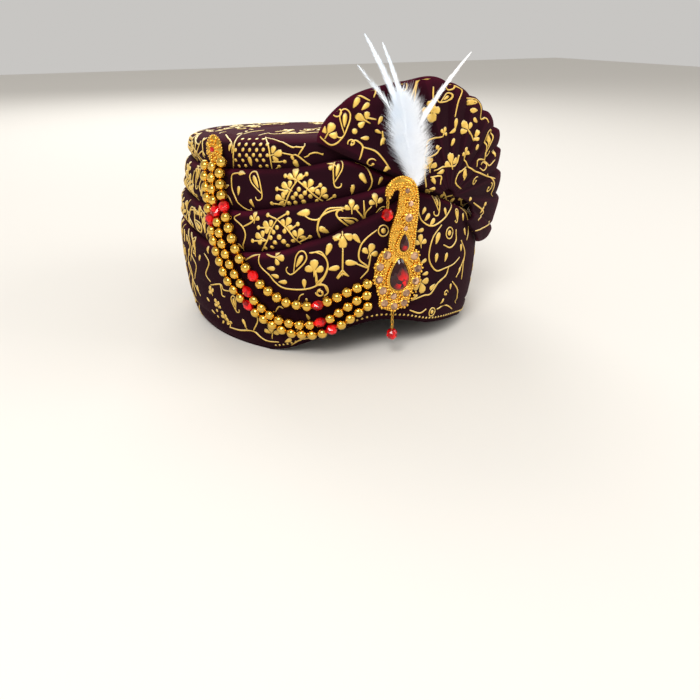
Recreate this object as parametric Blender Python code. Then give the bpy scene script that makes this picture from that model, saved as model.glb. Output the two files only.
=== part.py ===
"""A tied turban (pagri) of printed velvet, wound in three turns round an open head hollow.

A pleated cloth fan stands behind a gold hook brooch with a feather plume. Three strings of
beads hang from a small side brooch to the hook brooch. Metres, +Z up, the forehead at -Y and
the wearer's left at +X. The origin is the middle of the whole piece, on the surface it rests on.
"""
import math

import bmesh
import bpy
import numpy as np
from mathutils import Vector

# Wound body
BELLY_HALF_WIDTH = 0.115
FRONT_REACH = 0.125
BACK_REACH = 0.133
CROWN_HEIGHT = 0.136
CROWN_RISE = 0.006
TILT_BACK = math.radians(3.1)
TILT_LEFT = math.radians(2.2)
BACK_BOW = 0.137
FOREHEAD_LIFT = 0.027

# Cloth
LOW_WRAP_DEPTH = 0.009
MIDDLE_WRAP_DEPTH = 0.008
UPPER_WRAP_DEPTH = 0.008
CROWN_WALL = 0.008
CROWN_CLOTH = 0.004
WRAP_GAP = 0.0006
TUCK_RISE = 0.006
EDGE_STEP = 0.002
RIM_FOLD_HEIGHT = 0.012
RIM_FOLD_DEPTH = 0.0016
FRONT_STEP = 5.0
FRONT_HALF_ANGLE = 40.0
SIDE_STEP = 10.0

# Pleated fan
FAN_REACH = 0.080
FAN_ROOT_ANGLE = 14.6
FAN_ROOT_HEIGHT = 0.1075
FAN_SWING = 0.012
FAN_CLOTH = 0.0024
FAN_BACK_LEAN = 0.06
FAN_PLEATS = 12
FAN_SEAT = 0.0002
FAN_NEAR = 0.0042
FAN_SIDE_REACH = 1.8
PLEAT_DEPTH = 0.0045
SCALLOP = 0.0016

# Hook brooch
KALGI_ANGLE = -4.0
KALGI_SIDE = -0.0097
KALGI_STONE_HEIGHT = 0.0618
KALGI_LENGTH = 0.0915
PLATE_THICKNESS = 0.0016
PLATE_LENGTH = 0.042
PLATE_WIDTH = 0.030
PLATE_SHIFT = -0.0030
STEM_THICKNESS = 0.0026
HOOK_STAND_OFF = 0.0028
BEZEL_RADIUS = 0.0035
BEZEL_HEIGHT = 0.0036
LARGE_STONE_LENGTH = 0.0225
LARGE_STONE_WIDTH = 0.0150
SMALL_STONE_LENGTH = 0.0125
SMALL_STONE_WIDTH = 0.0074
STONE_HEIGHT = 0.0034
STONE_WALL = 0.0012
STONE_BASE = 0.90
STONE_GIRDLE = 0.40
STONE_TABLE = 0.55
COLLAR_SHARE = 0.35
SMALL_STONE_SIDE = 0.022
SMALL_STONE_UP = 0.236
STEM_START = 0.33
BEZEL_LIP = 0.72

# Beads and drops
BEAD_RADIUS = 0.0034
BEAD_PITCH = 0.0075
THREAD_RADIUS = 0.0011
BEAD_SIDES = 10
DROP_RADIUS = 0.0040
DROP_SIDE = -0.046
DROP_UP = -0.271
CHAIN_RADIUS = 0.0006
HOOK_CHAIN = 0.0085
BOTTOM_CHAIN = 0.0142

# Side brooch
SIDE_BROOCH_ANGLE = -70.5
SIDE_BROOCH_DROP = 0.005  # its middle, below the crown's shoulder line
SIDE_BROOCH_RADIUS = 0.0090
SIDE_BROOCH_RISE = 0.0042
SIDE_BROOCH_PETALS = 8

# Plume
PLUME_HEIGHT = 0.0925
PLUME_THICKNESS = 0.0052
QUILL_RADIUS = 0.0009

# Clearance between touching pieces
SEAT_GAP = 0.0003

# How deep a soldered piece starts above the back of the brooch
SOLDER_STEP = 0.0004

# Outline of the body: height and radius, as shares of the crown height and of the plan radius
PROFILE = (
    (0.00, 0.932), (0.07, 0.958), (0.26, 0.990), (0.45, 1.000), (0.60, 0.985),
    (0.74, 0.957), (0.88, 0.922), (0.97, 0.893), (1.00, 0.850),
)

# Lower edge over the forehead: angle from its middle, then its lift as a share of the highest lift
RIM = (
    (-50, 0.00), (-43, 0.12), (-36, 0.33), (-27, 0.63), (-20, 0.84), (-10, 1.00), (-2, 0.92),
    (10, 0.64), (27, 0.42), (45, 0.08), (55, 0.00),
)

# Top folds of the wraps: angle from the forehead, then the heights of the upper, middle and
# low wrap's fold as shares of the crown height
FOLDS = (
    (-180, 0.870, 0.690, 0.500), (-102, 0.875, 0.695, 0.540), (-79, 0.871, 0.688, 0.507),
    (-60, 0.882, 0.691, 0.497), (-49, 0.890, 0.709, 0.512), (-41, 0.897, 0.729, 0.533),
    (-32, 0.912, 0.751, 0.581), (-26, 0.928, 0.762, 0.605), (-21, 0.938, 0.775, 0.640),
    (-16, 0.925, 0.790, 0.670), (-11, 0.895, 0.805, 0.697), (-5, 0.866, 0.820, 0.735),
    (3, 0.860, 0.825, 0.787), (8, 0.862, 0.822, 0.775), (12, 0.868, 0.812, 0.757),
    (18, 0.878, 0.790, 0.728), (24, 0.886, 0.768, 0.695), (35, 0.892, 0.735, 0.640),
    (45, 0.892, 0.712, 0.588), (60, 0.890, 0.695, 0.500), (80, 0.880, 0.690, 0.462),
    (110, 0.872, 0.690, 0.470), (180, 0.870, 0.690, 0.500),
)

# Rim of the fan: angle round its root, reach as a share of the fan's reach, and how far along
# that reach its cloth starts
FAN_RIM = (
    (-42, 0.86, 0.84), (-36, 0.99, 0.80), (-30, 1.07, 0.76), (-22, 1.09, 0.68), (-16, 1.03, 0.40),
    (-9, 0.95, 0.12), (0, 0.885, 0.08), (9, 0.83, 0.08), (16, 0.815, 0.08), (27, 0.80, 0.08),
    (45, 0.79, 0.08), (65, 0.81, 0.08), (82, 0.87, 0.08), (99, 0.97, 0.08), (112, 1.01, 0.08),
    (121, 1.07, 0.08), (137, 1.19, 0.08), (150, 1.23, 0.08), (156, 1.22, 0.08),
)

# How far the fan stands outside the body: angle from the forehead, then share of the swing
FAN_STAND = ((-60, -0.80), (0, -0.80), (15, -0.40), (30, 0.30), (50, 0.95), (65, 1.00), (90, 0.90))

# Stem of the hook brooch: side and height of its spine and its half width, as shares of the length
STEM = (
    (0.010, 0.110, 0.090), (0.016, 0.220, 0.114), (0.035, 0.328, 0.111), (0.050, 0.437, 0.094),
    (0.059, 0.545, 0.080), (0.046, 0.620, 0.070), (0.004, 0.655, 0.050), (-0.055, 0.660, 0.034),
    (-0.098, 0.628, 0.023), (-0.113, 0.590, 0.016),
)

# Round stones of the hook brooch: side and height of each, as shares of the length
ROUND_STONES = (
    (-0.104, 0.158), (-0.160, 0.083), (-0.160, -0.012), (-0.133, -0.107), (-0.044, -0.160),
    (0.060, -0.150), (0.134, -0.065), (0.146, 0.024), (0.117, 0.125),
    (-0.118, -0.212), (-0.040, -0.240), (0.040, -0.225), (0.052, 0.423),
)

# Routes of the bead strings: angle from the forehead, then height as a share of the crown height
STRING_ROUTES = {
    "bead_string_upper": (
        (-64.3, 0.985), (-65, 0.910), (-63.5, 0.816), (-61, 0.709), (-58.5, 0.609),
        (-55.5, 0.516), (-50.5, 0.431), (-45, 0.362), (-38.5, 0.315), (-32, 0.308),
        (-25.5, 0.347), (-19.5, 0.397), (-16, 0.418), (-13.3, 0.432),
    ),
    "bead_string_middle": (
        (-69.2, 0.957), (-69, 0.890), (-67.5, 0.783), (-65, 0.676), (-62.5, 0.568),
        (-58, 0.430), (-53.5, 0.344), (-48, 0.267), (-42, 0.215), (-35, 0.203),
        (-28, 0.229), (-22.5, 0.290), (-17, 0.351), (-13.5, 0.376),
    ),
    "bead_string_lower": (
        (-74.0, 0.955), (-73.3, 0.890), (-71, 0.788), (-69, 0.680), (-67, 0.574),
        (-64.5, 0.480), (-61.5, 0.385), (-56.5, 0.303), (-50.5, 0.233), (-44.5, 0.180),
        (-38, 0.150), (-31.5, 0.151), (-25, 0.189), (-20, 0.242), (-16, 0.293), (-13.2, 0.320),
    ),
}

# Outer form of the plume: height, middle and half width, as shares of the plume height
PLUME = (
    (0.00, 0.045, 0.018), (0.09, 0.036, 0.055), (0.20, 0.000, 0.118), (0.34, -0.036, 0.186),
    (0.47, -0.054, 0.172), (0.58, -0.080, 0.108), (0.65, -0.100, 0.055),
)

# Long vanes of the plume: foot side and height, tip side and height, half width, as shares
VANES = (
    (-0.06, 0.45, -0.352, 1.000, 0.034),
    (-0.03, 0.45, -0.228, 0.950, 0.028),
    (0.040, 0.40, 0.432, 0.885, 0.020),
)


def curve(at, rows, column):
    """Smooth value of a table's column at a place in its first column, with no overshoot."""
    xs = np.array([row[0] for row in rows], float)
    ys = np.array([row[column] for row in rows], float)
    steps = np.diff(xs)
    slopes = np.diff(ys) / steps
    product = slopes[:-1] * slopes[1:]
    total = np.where(product > 0, slopes[:-1] + slopes[1:], 1.0)
    inner = np.where(product > 0, 2 * product / total, 0.0)
    tangents = np.concatenate(([slopes[0]], inner, [slopes[-1]]))
    at = np.clip(at, xs[0], xs[-1])
    i = np.clip(np.searchsorted(xs, at, "right") - 1, 0, len(xs) - 2)
    t = (at - xs[i]) / steps[i]
    start = (1 + 2 * t) * (1 - t) ** 2 * ys[i] + t * (1 - t) ** 2 * steps[i] * tangents[i]
    end = t * t * (3 - 2 * t) * ys[i + 1] + t * t * (t - 1) * steps[i] * tangents[i + 1]
    return start + end


def plan_radius(degrees):
    """Half oval at the front, another at the back, both as wide as the belly."""
    angle = math.radians(degrees)
    reach = FRONT_REACH if math.cos(angle) > 0 else BACK_REACH
    return 1 / math.hypot(math.cos(angle) / reach, math.sin(angle) / BELLY_HALF_WIDTH)


def envelope(degrees, height):
    return plan_radius(degrees) * float(curve(height / CROWN_HEIGHT, PROFILE, 1))


def tilted(degrees, radius, height):
    """A point at a radius and height, with the crown's plane tilted back and to the left."""
    x = radius * math.sin(math.radians(degrees))
    y = -radius * math.cos(math.radians(degrees))
    fall = math.tan(TILT_LEFT) * x + math.tan(TILT_BACK) * y - BACK_BOW * y * y
    return (x, y, height - fall * height / CROWN_HEIGHT)


def body_point(degrees, depth, height):
    return tilted(degrees, envelope(degrees, height) - depth, height)


def rim_height(degrees):
    return FOREHEAD_LIFT * float(curve(degrees, RIM, 1))


def plan_angles():
    front = np.arange(-FRONT_HALF_ANGLE, FRONT_HALF_ANGLE + FRONT_STEP / 2, FRONT_STEP)
    rest = 360.0 - 2 * FRONT_HALF_ANGLE
    count = math.ceil(rest / SIDE_STEP)
    side = FRONT_HALF_ANGLE + rest * np.arange(1, count) / count
    angles = np.concatenate((front, np.where(side > 180, side - 360, side)))
    return [float(angle) for angle in np.sort(angles)]


def crest(degrees, column):
    return CROWN_HEIGHT * float(curve(degrees, FOLDS, column))


def tuck(height, fold, depth):
    """Share of a covering wrap's depth: none well above its fold, all of it below."""
    return min(max((fold + TUCK_RISE - height) / (TUCK_RISE + depth / 2), 0.0), 1.0)


def fold_section(top, depth, above, covers):
    """Outer side of a wrap: its rolled top fold, its open face, then its covered foot.

    above is the depth of the surface at a height; covers are the points below the next fold.
    """
    rows = [
        (above(top) + depth / 2, top),
        (above(top - depth * 0.12) + depth * 0.16, top - depth * 0.12),
        (above(top - depth / 2), top - depth / 2),
    ]
    return rows + covers


def wrap_sections(degrees):
    """The closed section of each wrap and the outer and inner lines of the crown's wall."""
    upper, middle, low = (crest(degrees, column) for column in (1, 2, 3))
    rim = rim_height(degrees)
    step = LOW_WRAP_DEPTH + WRAP_GAP
    next_step = MIDDLE_WRAP_DEPTH + WRAP_GAP
    last_step = UPPER_WRAP_DEPTH + WRAP_GAP

    def straight(height):
        """Depth that keeps the covered walls straight from the low wrap's fold to the rim."""
        share = (height - rim) / (low_seat - rim)
        ends = (envelope(degrees, rim), envelope(degrees, low_seat))
        return envelope(degrees, height) - ends[0] * (1 - share) - ends[1] * share

    def under_low(height):
        return step * tuck(height, low, LOW_WRAP_DEPTH)

    def under_middle(height):
        return under_low(height) + next_step * tuck(height, middle, MIDDLE_WRAP_DEPTH)

    def under_upper(height):
        return under_middle(height) + last_step * tuck(height, upper, UPPER_WRAP_DEPTH)

    low_seat = low - LOW_WRAP_DEPTH / 2
    middle_seat = middle - MIDDLE_WRAP_DEPTH / 2
    upper_seat = upper - UPPER_WRAP_DEPTH / 2
    turn_in = rim + RIM_FOLD_HEIGHT
    open_face = [(0.0, (low_seat + turn_in) / 2), (0.0, turn_in + 2 * RIM_FOLD_DEPTH)]
    open_face += [(RIM_FOLD_DEPTH, turn_in), (0.0, rim + RIM_FOLD_HEIGHT / 2), (RIM_FOLD_DEPTH, rim)]
    low_outer = fold_section(low, LOW_WRAP_DEPTH, lambda h: 0.0, open_face)
    low_inner = [(LOW_WRAP_DEPTH, rim), (LOW_WRAP_DEPTH, low_seat)]

    foot = rim + EDGE_STEP
    face_low = min(low + TUCK_RISE, middle_seat - WRAP_GAP)
    face_mid = (face_low + middle_seat) / 2
    covers = [(under_low(h), h) for h in (face_mid, face_low)] + [(step, low_seat)]
    covers.append((step + straight(foot), foot))
    middle_outer = fold_section(middle, MIDDLE_WRAP_DEPTH, under_low, covers)
    middle_inner = [
        (step + straight(foot) + MIDDLE_WRAP_DEPTH, foot), (step + MIDDLE_WRAP_DEPTH, low_seat),
        (under_low(middle_seat) + MIDDLE_WRAP_DEPTH, middle_seat),
    ]

    foot += EDGE_STEP
    face_low = min(middle + TUCK_RISE, upper_seat - WRAP_GAP)
    face_mid = (face_low + upper_seat) / 2
    covers = [(under_middle(h), h) for h in (face_mid, face_low)]
    covers += [(under_middle(middle_seat), middle_seat)]
    covers += [(step + next_step, low_seat), (step + next_step + straight(foot), foot)]
    upper_outer = fold_section(upper, UPPER_WRAP_DEPTH, under_middle, covers)
    upper_inner = [
        (step + next_step + straight(foot) + UPPER_WRAP_DEPTH, foot),
        (step + next_step + UPPER_WRAP_DEPTH, low_seat),
        (under_middle(middle_seat) + UPPER_WRAP_DEPTH, middle_seat),
        (under_middle(upper_seat) + UPPER_WRAP_DEPTH, upper_seat),
    ]

    foot += EDGE_STEP
    shoulder = CROWN_HEIGHT * PROFILE[-2][0]
    side_top = min(upper + TUCK_RISE, shoulder - 2 * WRAP_GAP)
    wall = step + next_step + last_step
    crown_outer = [
        (0.0, shoulder), (under_upper(side_top), side_top),
        (under_middle(upper_seat) + last_step, upper_seat),
        (under_middle(middle_seat) + last_step, middle_seat), (wall, low_seat),
        (wall + straight(foot), foot),
    ]
    crown_inner = [
        (wall + straight(foot) + CROWN_CLOTH, foot), (wall + CROWN_WALL, CROWN_HEIGHT / 2),
    ]
    return {
        "low_wrap": (low_outer, low_inner), "middle_wrap": (middle_outer, middle_inner),
        "upper_wrap": (upper_outer, upper_inner), "crown": (crown_outer, crown_inner),
    }


def outer_line(degrees):
    """Radius and true height along the outside of every wrap and the crown, at one angle."""
    lines = []
    for outer, _ in wrap_sections(degrees).values():
        points = [body_point(degrees, depth, height) for depth, height in outer]
        lines.append([(math.hypot(x, y), z) for x, y, z in points])
    return lines


def surface_radius(lines, height):
    """Radius of the outermost cloth at a true height, or 0 above the crown's shoulder."""
    found = 0.0
    for line in lines:
        for (r0, z0), (r1, z1) in zip(line, line[1:]):
            if min(z0, z1) <= height <= max(z0, z1) and z0 != z1:
                found = max(found, r0 + (r1 - r0) * (height - z0) / (z1 - z0))
    return found


def seat_radius(degrees, height, ball):
    """Radius of the middle of a ball that rests against the cloth at an angle and height."""
    lines = outer_line(degrees)
    reach = ball + SEAT_GAP
    best = 0.0
    for share in np.linspace(-0.95, 0.95, 13):
        surface = surface_radius(lines, height + share * reach)
        best = max(best, surface + reach * math.sqrt(1 - share * share))
    return best


def new_object(name, vertices, faces, material):
    mesh = bpy.data.meshes.new(name)
    mesh.from_pydata([tuple(map(float, v)) for v in vertices], [], faces)
    work = bmesh.new()
    work.from_mesh(mesh)
    bmesh.ops.recalc_face_normals(work, faces=work.faces)
    work.to_mesh(mesh)
    work.free()
    mesh.materials.append(material)
    obj = bpy.data.objects.new(name, mesh)
    bpy.context.scene.collection.objects.link(obj)
    return obj


def smooth(obj, degrees):
    obj.data.shade_smooth()
    obj.data.set_sharp_from_angle(angle=math.radians(degrees))


def grid_faces(rows, columns, wrap_rows, wrap_columns):
    """Quads over a grid of rows by columns, closed on itself where asked."""
    faces = []
    for i in range(rows if wrap_rows else rows - 1):
        for j in range(columns if wrap_columns else columns - 1):
            a, b = i * columns, (i + 1) % rows * columns
            k = (j + 1) % columns
            faces.append((a + j, b + j, b + k, a + k))
    return faces


def ring_faces(rows, columns, closed, turn):
    """Triangles round a ring of sections. The diagonals slope one way on the outside, before the
    point turn, and the other way inside, so that two facing walls have the same creases.
    """
    faces = []
    for a, b, b_next, a_next in grid_faces(rows, columns, True, closed):
        if a % columns < turn:
            faces += [(a, b, b_next), (a, b_next, a_next)]
        else:
            faces += [(a, b, a_next), (b, b_next, a_next)]
    return faces


def cloth_material(name):
    material = bpy.data.materials.new(name)
    material.use_nodes = True
    shader = material.node_tree.nodes["Principled BSDF"]
    shader.inputs["Base Color"].default_value = (0.055, 0.008, 0.018, 1.0)
    shader.inputs["Roughness"].default_value = 0.85
    shader.inputs["Sheen Weight"].default_value = 0.4
    return material


def gold_material(name):
    material = bpy.data.materials.new(name)
    material.use_nodes = True
    shader = material.node_tree.nodes["Principled BSDF"]
    shader.inputs["Base Color"].default_value = (0.86, 0.52, 0.12, 1.0)
    shader.inputs["Metallic"].default_value = 1.0
    shader.inputs["Roughness"].default_value = 0.25
    return material


def glass_material(name, colour):
    material = bpy.data.materials.new(name)
    material.use_nodes = True
    shader = material.node_tree.nodes["Principled BSDF"]
    shader.inputs["Base Color"].default_value = colour
    shader.inputs["Roughness"].default_value = 0.05
    shader.inputs["Transmission Weight"].default_value = 0.5
    return material


def feather_material(name):
    material = bpy.data.materials.new(name)
    material.use_nodes = True
    shader = material.node_tree.nodes["Principled BSDF"]
    shader.inputs["Base Color"].default_value = (0.90, 0.91, 0.92, 1.0)
    shader.inputs["Roughness"].default_value = 0.7
    return material


def make_wraps():
    """Three rings of wound cloth, each outside the one above it."""
    angles = plan_angles()
    sections = [wrap_sections(angle) for angle in angles]
    for name in ("low_wrap", "middle_wrap", "upper_wrap"):
        vertices = []
        for angle, section in zip(angles, sections):
            outer, inner = section[name]
            vertices += [body_point(angle, depth, height) for depth, height in outer + inner]
        faces = ring_faces(len(angles), len(outer + inner), True, len(outer))
        smooth(new_object(name, vertices, faces, cloth_material(name + "_velvet")), 50)


def make_crown():
    """The cloth over the head and the innermost turn of the wall, one shell open below."""
    angles = plan_angles()
    ceiling = CROWN_HEIGHT - CROWN_CLOTH
    top = [(0.30, CROWN_HEIGHT + CROWN_RISE * 0.9), (0.58, CROWN_HEIGHT + CROWN_RISE * 0.6)]
    top += [(PROFILE[-1][1], CROWN_HEIGHT)]
    vertices = []
    for angle in angles:
        outer, inner = wrap_sections(angle)["crown"]
        radius = plan_radius(angle)
        hollow = envelope(angle, CROWN_HEIGHT / 2) - inner[-1][0]
        under = [(hollow, CROWN_HEIGHT * 0.82), (hollow - CROWN_CLOTH, ceiling - CROWN_CLOTH * 1.5)]
        under += [(hollow - 3 * CROWN_CLOTH, ceiling - CROWN_CLOTH / 2)]
        vertices += [tilted(angle, radius * share, height) for share, height in top]
        vertices += [body_point(angle, depth, height) for depth, height in outer + inner]
        vertices += [tilted(angle, r, height) for r, height in under]
    rows = len(angles)
    columns = len(vertices) // rows
    faces = ring_faces(rows, columns, False, len(top + outer))
    outside = len(vertices)
    vertices += [tilted(0, 0, CROWN_HEIGHT + CROWN_RISE), tilted(0, 0, ceiling)]
    for i in range(rows):
        a, b = i * columns, (i + 1) % rows * columns
        faces.append((outside, b, a))
        faces.append((outside + 1, a + columns - 1, b + columns - 1))
    smooth(new_object("crown", vertices, faces, cloth_material("crown_velvet")), 50)


def fan_base(turn, share):
    """Middle of the fan's cloth: turn in degrees round its root, share of the way to the rim."""
    start = float(curve(turn, FAN_RIM, 2))
    way = max((share - start) / (1 - start), 0.0)
    reach = FAN_REACH * share * float(curve(turn, FAN_RIM, 1))
    along = reach * math.cos(math.radians(turn))
    height = FAN_ROOT_HEIGHT + reach * math.sin(math.radians(turn))
    degrees = FAN_ROOT_ANGLE + math.degrees(along / BELLY_HALF_WIDTH)
    stand = FAN_SWING * float(curve(degrees, FAN_STAND, 1)) * math.sqrt(way)
    free = plan_radius(degrees) + stand - FAN_BACK_LEAN * max(height - CROWN_HEIGHT, 0.0)
    near = np.linspace(-FAN_NEAR, FAN_NEAR, 7)
    room = 0.0
    for angle in (degrees - FAN_SIDE_REACH, degrees, degrees + FAN_SIDE_REACH):
        lines = outer_line(angle)
        room = max([room] + [surface_radius(lines, height - step) for step in near])
    return degrees, max(free, room + FAN_CLOTH / 2 + FAN_SEAT), height


def fan_point(turn, share, offset):
    """A point of the fan's cloth, with its pleats standing out of the middle surface."""
    degrees, radius, height = fan_base(turn, share)
    first, last = FAN_RIM[0][0], FAN_RIM[-1][0]
    wave = math.cos(2 * math.pi * FAN_PLEATS * (turn - first) / (last - first))
    radius += PLEAT_DEPTH * share * (1 + wave) / 2 + offset
    height += SCALLOP * wave * share ** 4
    angle = math.radians(degrees)
    return (radius * math.sin(angle), -radius * math.cos(angle), height)


def make_fan():
    turns = np.linspace(FAN_RIM[0][0], FAN_RIM[-1][0], 4 * FAN_PLEATS + 1)
    shares = np.array([0.0, 0.30, 0.58, 0.82, 1.0])
    vertices = []
    for turn in turns:
        start = float(curve(turn, FAN_RIM, 2))
        ways = start + (1 - start) * shares
        vertices += [fan_point(turn, way, FAN_CLOTH / 2) for way in ways]
        vertices += [fan_point(turn, way, -FAN_CLOTH / 2) for way in ways[::-1]]
    columns = 2 * len(shares)
    faces = grid_faces(len(turns), columns, False, True)
    last = (len(turns) - 1) * columns
    for i in range(len(shares) - 1):
        faces.append((i, i + 1, columns - 2 - i, columns - 1 - i))
        faces.append((last + i + 1, last + i, last + columns - 1 - i, last + columns - 2 - i))
    smooth(new_object("fan", vertices, faces, cloth_material("fan_velvet")), 50)


def kalgi_frame():
    """Middle, side, up and outward directions of the hook brooch, its back clear of the cloth."""
    out = Vector((math.sin(math.radians(KALGI_ANGLE)), -math.cos(math.radians(KALGI_ANGLE)), 0))
    side = Vector((-out.y, out.x, 0))
    middle = out * plan_radius(KALGI_ANGLE)
    middle += side * (KALGI_SIDE - middle.x) / side.x
    middle.z = KALGI_STONE_HEIGHT
    farthest = 0.0
    for degrees in np.arange(-16.0, 6.0, 2.0):
        for outer, _ in wrap_sections(degrees).values():
            for depth, height in outer:
                farthest = max(farthest, Vector(body_point(degrees, depth, height)).dot(out))
    middle += out * (farthest + SEAT_GAP - middle.dot(out))
    return middle, side, Vector((0, 0, 1)), out


def kalgi_point(frame, u, v, w):
    middle, side, up, out = frame
    return middle + side * u + up * v + out * w


def drop_outline(length, width, count):
    """A drop shape, point up, as count points round it."""
    points = []
    for i in range(count):
        turn = 2 * math.pi * i / count
        across = math.sin(turn) * (1 - 0.42 * math.cos(turn)) / 1.08
        points.append((across * width / 2, math.cos(turn) * length / 2))
    return points


def stacked(frame, layers):
    """A solid from outlines of equal length, each with its height out of the brooch."""
    vertices = []
    for outline, w in layers:
        vertices += [kalgi_point(frame, u, v, w) for u, v in outline]
    count = len(layers[0][0])
    faces = grid_faces(len(layers), count, False, True)
    faces.append(tuple(range(count)))
    faces.append(tuple(range(len(vertices) - count, len(vertices)))[::-1])
    return vertices, faces


def scaled(outline, share):
    return [(u * share, v * share) for u, v in outline]


def moved(outline, place):
    return [(u + place[0], v + place[1]) for u, v in outline]


def disc(u, v, radius, sides):
    turns = [2 * math.pi * (i + 0.5) / sides for i in range(sides)]
    return [(u + radius * math.cos(t), v + radius * math.sin(t)) for t in turns]


def combined(base, others, operation):
    """One solid from a base and others, soldered to it or cut out of it."""
    for other in others:
        joint = base.modifiers.new("joint", "BOOLEAN")
        joint.operation = operation
        joint.object = other
    graph = bpy.context.evaluated_depsgraph_get()
    base.data = bpy.data.meshes.new_from_object(base.evaluated_get(graph))
    base.modifiers.clear()
    for other in others:
        bpy.data.objects.remove(other)


def stem_solid(frame, material):
    """The broad stem that narrows and hooks over at the top, a low ridge along its middle."""
    spine = np.array([(row[0], row[1]) for row in STEM]) * KALGI_LENGTH
    ways = np.gradient(spine, axis=0)
    vertices = []
    for i, (point, way) in enumerate(zip(spine, ways)):
        across = np.array([way[1], -way[0]]) / np.linalg.norm(way)
        half = STEM[i][2] * KALGI_LENGTH
        lift = HOOK_STAND_OFF * min(max((point[1] / KALGI_LENGTH - STEM_START) / 0.2, 0.0), 1.0)
        section = ((-1, 0), (-0.94, 0.7), (0, 1.0), (0.94, 0.7), (1, 0))
        for share, height in section:
            u, v = point + across * half * share
            w = SOLDER_STEP / 2 + lift + STEM_THICKNESS * height
            vertices.append(kalgi_point(frame, u, v, w))
    faces = grid_faces(len(spine), 5, False, True)
    last = len(vertices) - 5
    faces += [(4, 3, 2, 1, 0), tuple(range(last, last + 5))]
    return new_object("stem", vertices, faces, material)


def bezel_solid(frame, u, v, gold):
    """A round clear stone in its gold cup, eight facets round a table."""
    on_stem = v > KALGI_LENGTH * STEM_START
    foot = HOOK_STAND_OFF / 2 if on_stem else SOLDER_STEP
    lip = foot + BEZEL_HEIGHT * BEZEL_LIP
    top = foot + BEZEL_HEIGHT
    rings = ((1.0, foot), (0.86, lip), (0.74, lip), (0.42, top))
    layers = [(disc(u, v, BEZEL_RADIUS * share, 8), height) for share, height in rings]
    return new_object("bezel", *stacked(frame, layers), gold)


def make_kalgi(frame):
    """The soldered gold setting, and the two red stones seated in it."""
    gold = gold_material("kalgi_gold")
    oval = disc(0.0, 0.0, 1.0, 20)
    plate = [(u * PLATE_WIDTH / 2, v * PLATE_LENGTH / 2 + PLATE_SHIFT) for u, v in oval]
    layers = [(plate, 0.0), (plate, PLATE_THICKNESS)]
    setting = new_object("kalgi_setting", *stacked(frame, layers), gold)
    soldered = [stem_solid(frame, gold)]
    for side, height in ROUND_STONES:
        soldered.append(bezel_solid(frame, side * KALGI_LENGTH, height * KALGI_LENGTH, gold))
    cutters = []
    small_place = (SMALL_STONE_SIDE * KALGI_LENGTH, SMALL_STONE_UP * KALGI_LENGTH)
    seats = (
        ("large", LARGE_STONE_LENGTH, LARGE_STONE_WIDTH, (0.0, 0.0), PLATE_THICKNESS),
        ("small", SMALL_STONE_LENGTH, SMALL_STONE_WIDTH, small_place, STEM_THICKNESS),
    )
    for name, length, width, place, floor in seats:
        top = floor + STONE_HEIGHT * COLLAR_SHARE
        wall = SEAT_GAP + STONE_WALL
        rim = moved(drop_outline(length + 2 * wall, width + 2 * wall, 12), place)
        seat = moved(drop_outline(length + 2 * SEAT_GAP, width + 2 * SEAT_GAP, 12), place)
        soldered.append(new_object("collar", *stacked(frame, [(rim, 2 * SOLDER_STEP), (rim, top)]), gold))
        hole = [(seat, floor - SEAT_GAP), (seat, top + STONE_HEIGHT)]
        cutters.append(new_object("cutter", *stacked(frame, hole), gold))
        cut_stone(frame, "kalgi_" + name + "_stone", length, width, place, floor)
    combined(setting, soldered, "UNION")
    combined(setting, cutters, "DIFFERENCE")
    smooth(setting, 30)


def cut_stone(frame, name, length, width, place, floor):
    """A drop-shaped stone with a table and a row of facets, on its seat."""
    outline = drop_outline(length, width, 12)
    base = moved(scaled(outline, STONE_BASE), place)
    girdle = moved(outline, place)
    table = moved(scaled(outline, STONE_TABLE), place)
    layers = [(base, floor), (girdle, floor + STONE_HEIGHT * STONE_GIRDLE), (table, floor + STONE_HEIGHT)]
    new_object(name, *stacked(frame, layers), glass_material(name + "_glass", (0.45, 0.0, 0.02, 1.0)))


def turned_solid(name, middle, profile, sides, material):
    """A solid turned round a vertical axis, from rows of radius and height."""
    vertices = []
    for radius, height in profile:
        for i in range(sides):
            turn = 2 * math.pi * i / sides
            spot = Vector((radius * math.cos(turn), radius * math.sin(turn), height))
            vertices.append(middle + spot)
    faces = grid_faces(len(profile), sides, False, True)
    faces.append(tuple(range(sides))[::-1])
    faces.append(tuple(range(len(vertices) - sides, len(vertices))))
    obj = new_object(name, vertices, faces, material)
    smooth(obj, 60)
    return obj


def make_drops(frame):
    """Two round red beads, each on a short chain under the brooch's hook and its foot."""
    hooked = HOOK_STAND_OFF + STEM_THICKNESS / 2
    places = (
        ("hook_drop", STEM[-1][0], STEM[-1][1], HOOK_CHAIN, hooked),
        ("bottom_drop", DROP_SIDE, DROP_UP, BOTTOM_CHAIN, PLATE_THICKNESS),
    )
    for name, side, up, chain, stand in places:
        anchor = kalgi_point(frame, side * KALGI_LENGTH, up * KALGI_LENGTH, 0.0)
        turn = math.atan2(anchor.x, -anchor.y)
        height = anchor.z - chain - DROP_RADIUS
        seat = seat_radius(math.degrees(turn), height, DROP_RADIUS)
        radius = max(seat, math.hypot(anchor.x, anchor.y) + stand)
        middle = Vector((radius * math.sin(turn), -radius * math.cos(turn), height))
        tilts = np.radians((-72, -40, -8, 24, 54))
        ball = [(DROP_RADIUS * math.cos(t), DROP_RADIUS * math.sin(t)) for t in tilts]
        ball += [(CHAIN_RADIUS, DROP_RADIUS), (CHAIN_RADIUS, DROP_RADIUS + chain - 2 * SEAT_GAP)]
        glass = glass_material(name + "_glass", (0.62, 0.0, 0.02, 1.0))
        turned_solid(name, middle, ball, BEAD_SIDES, glass)


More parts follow.
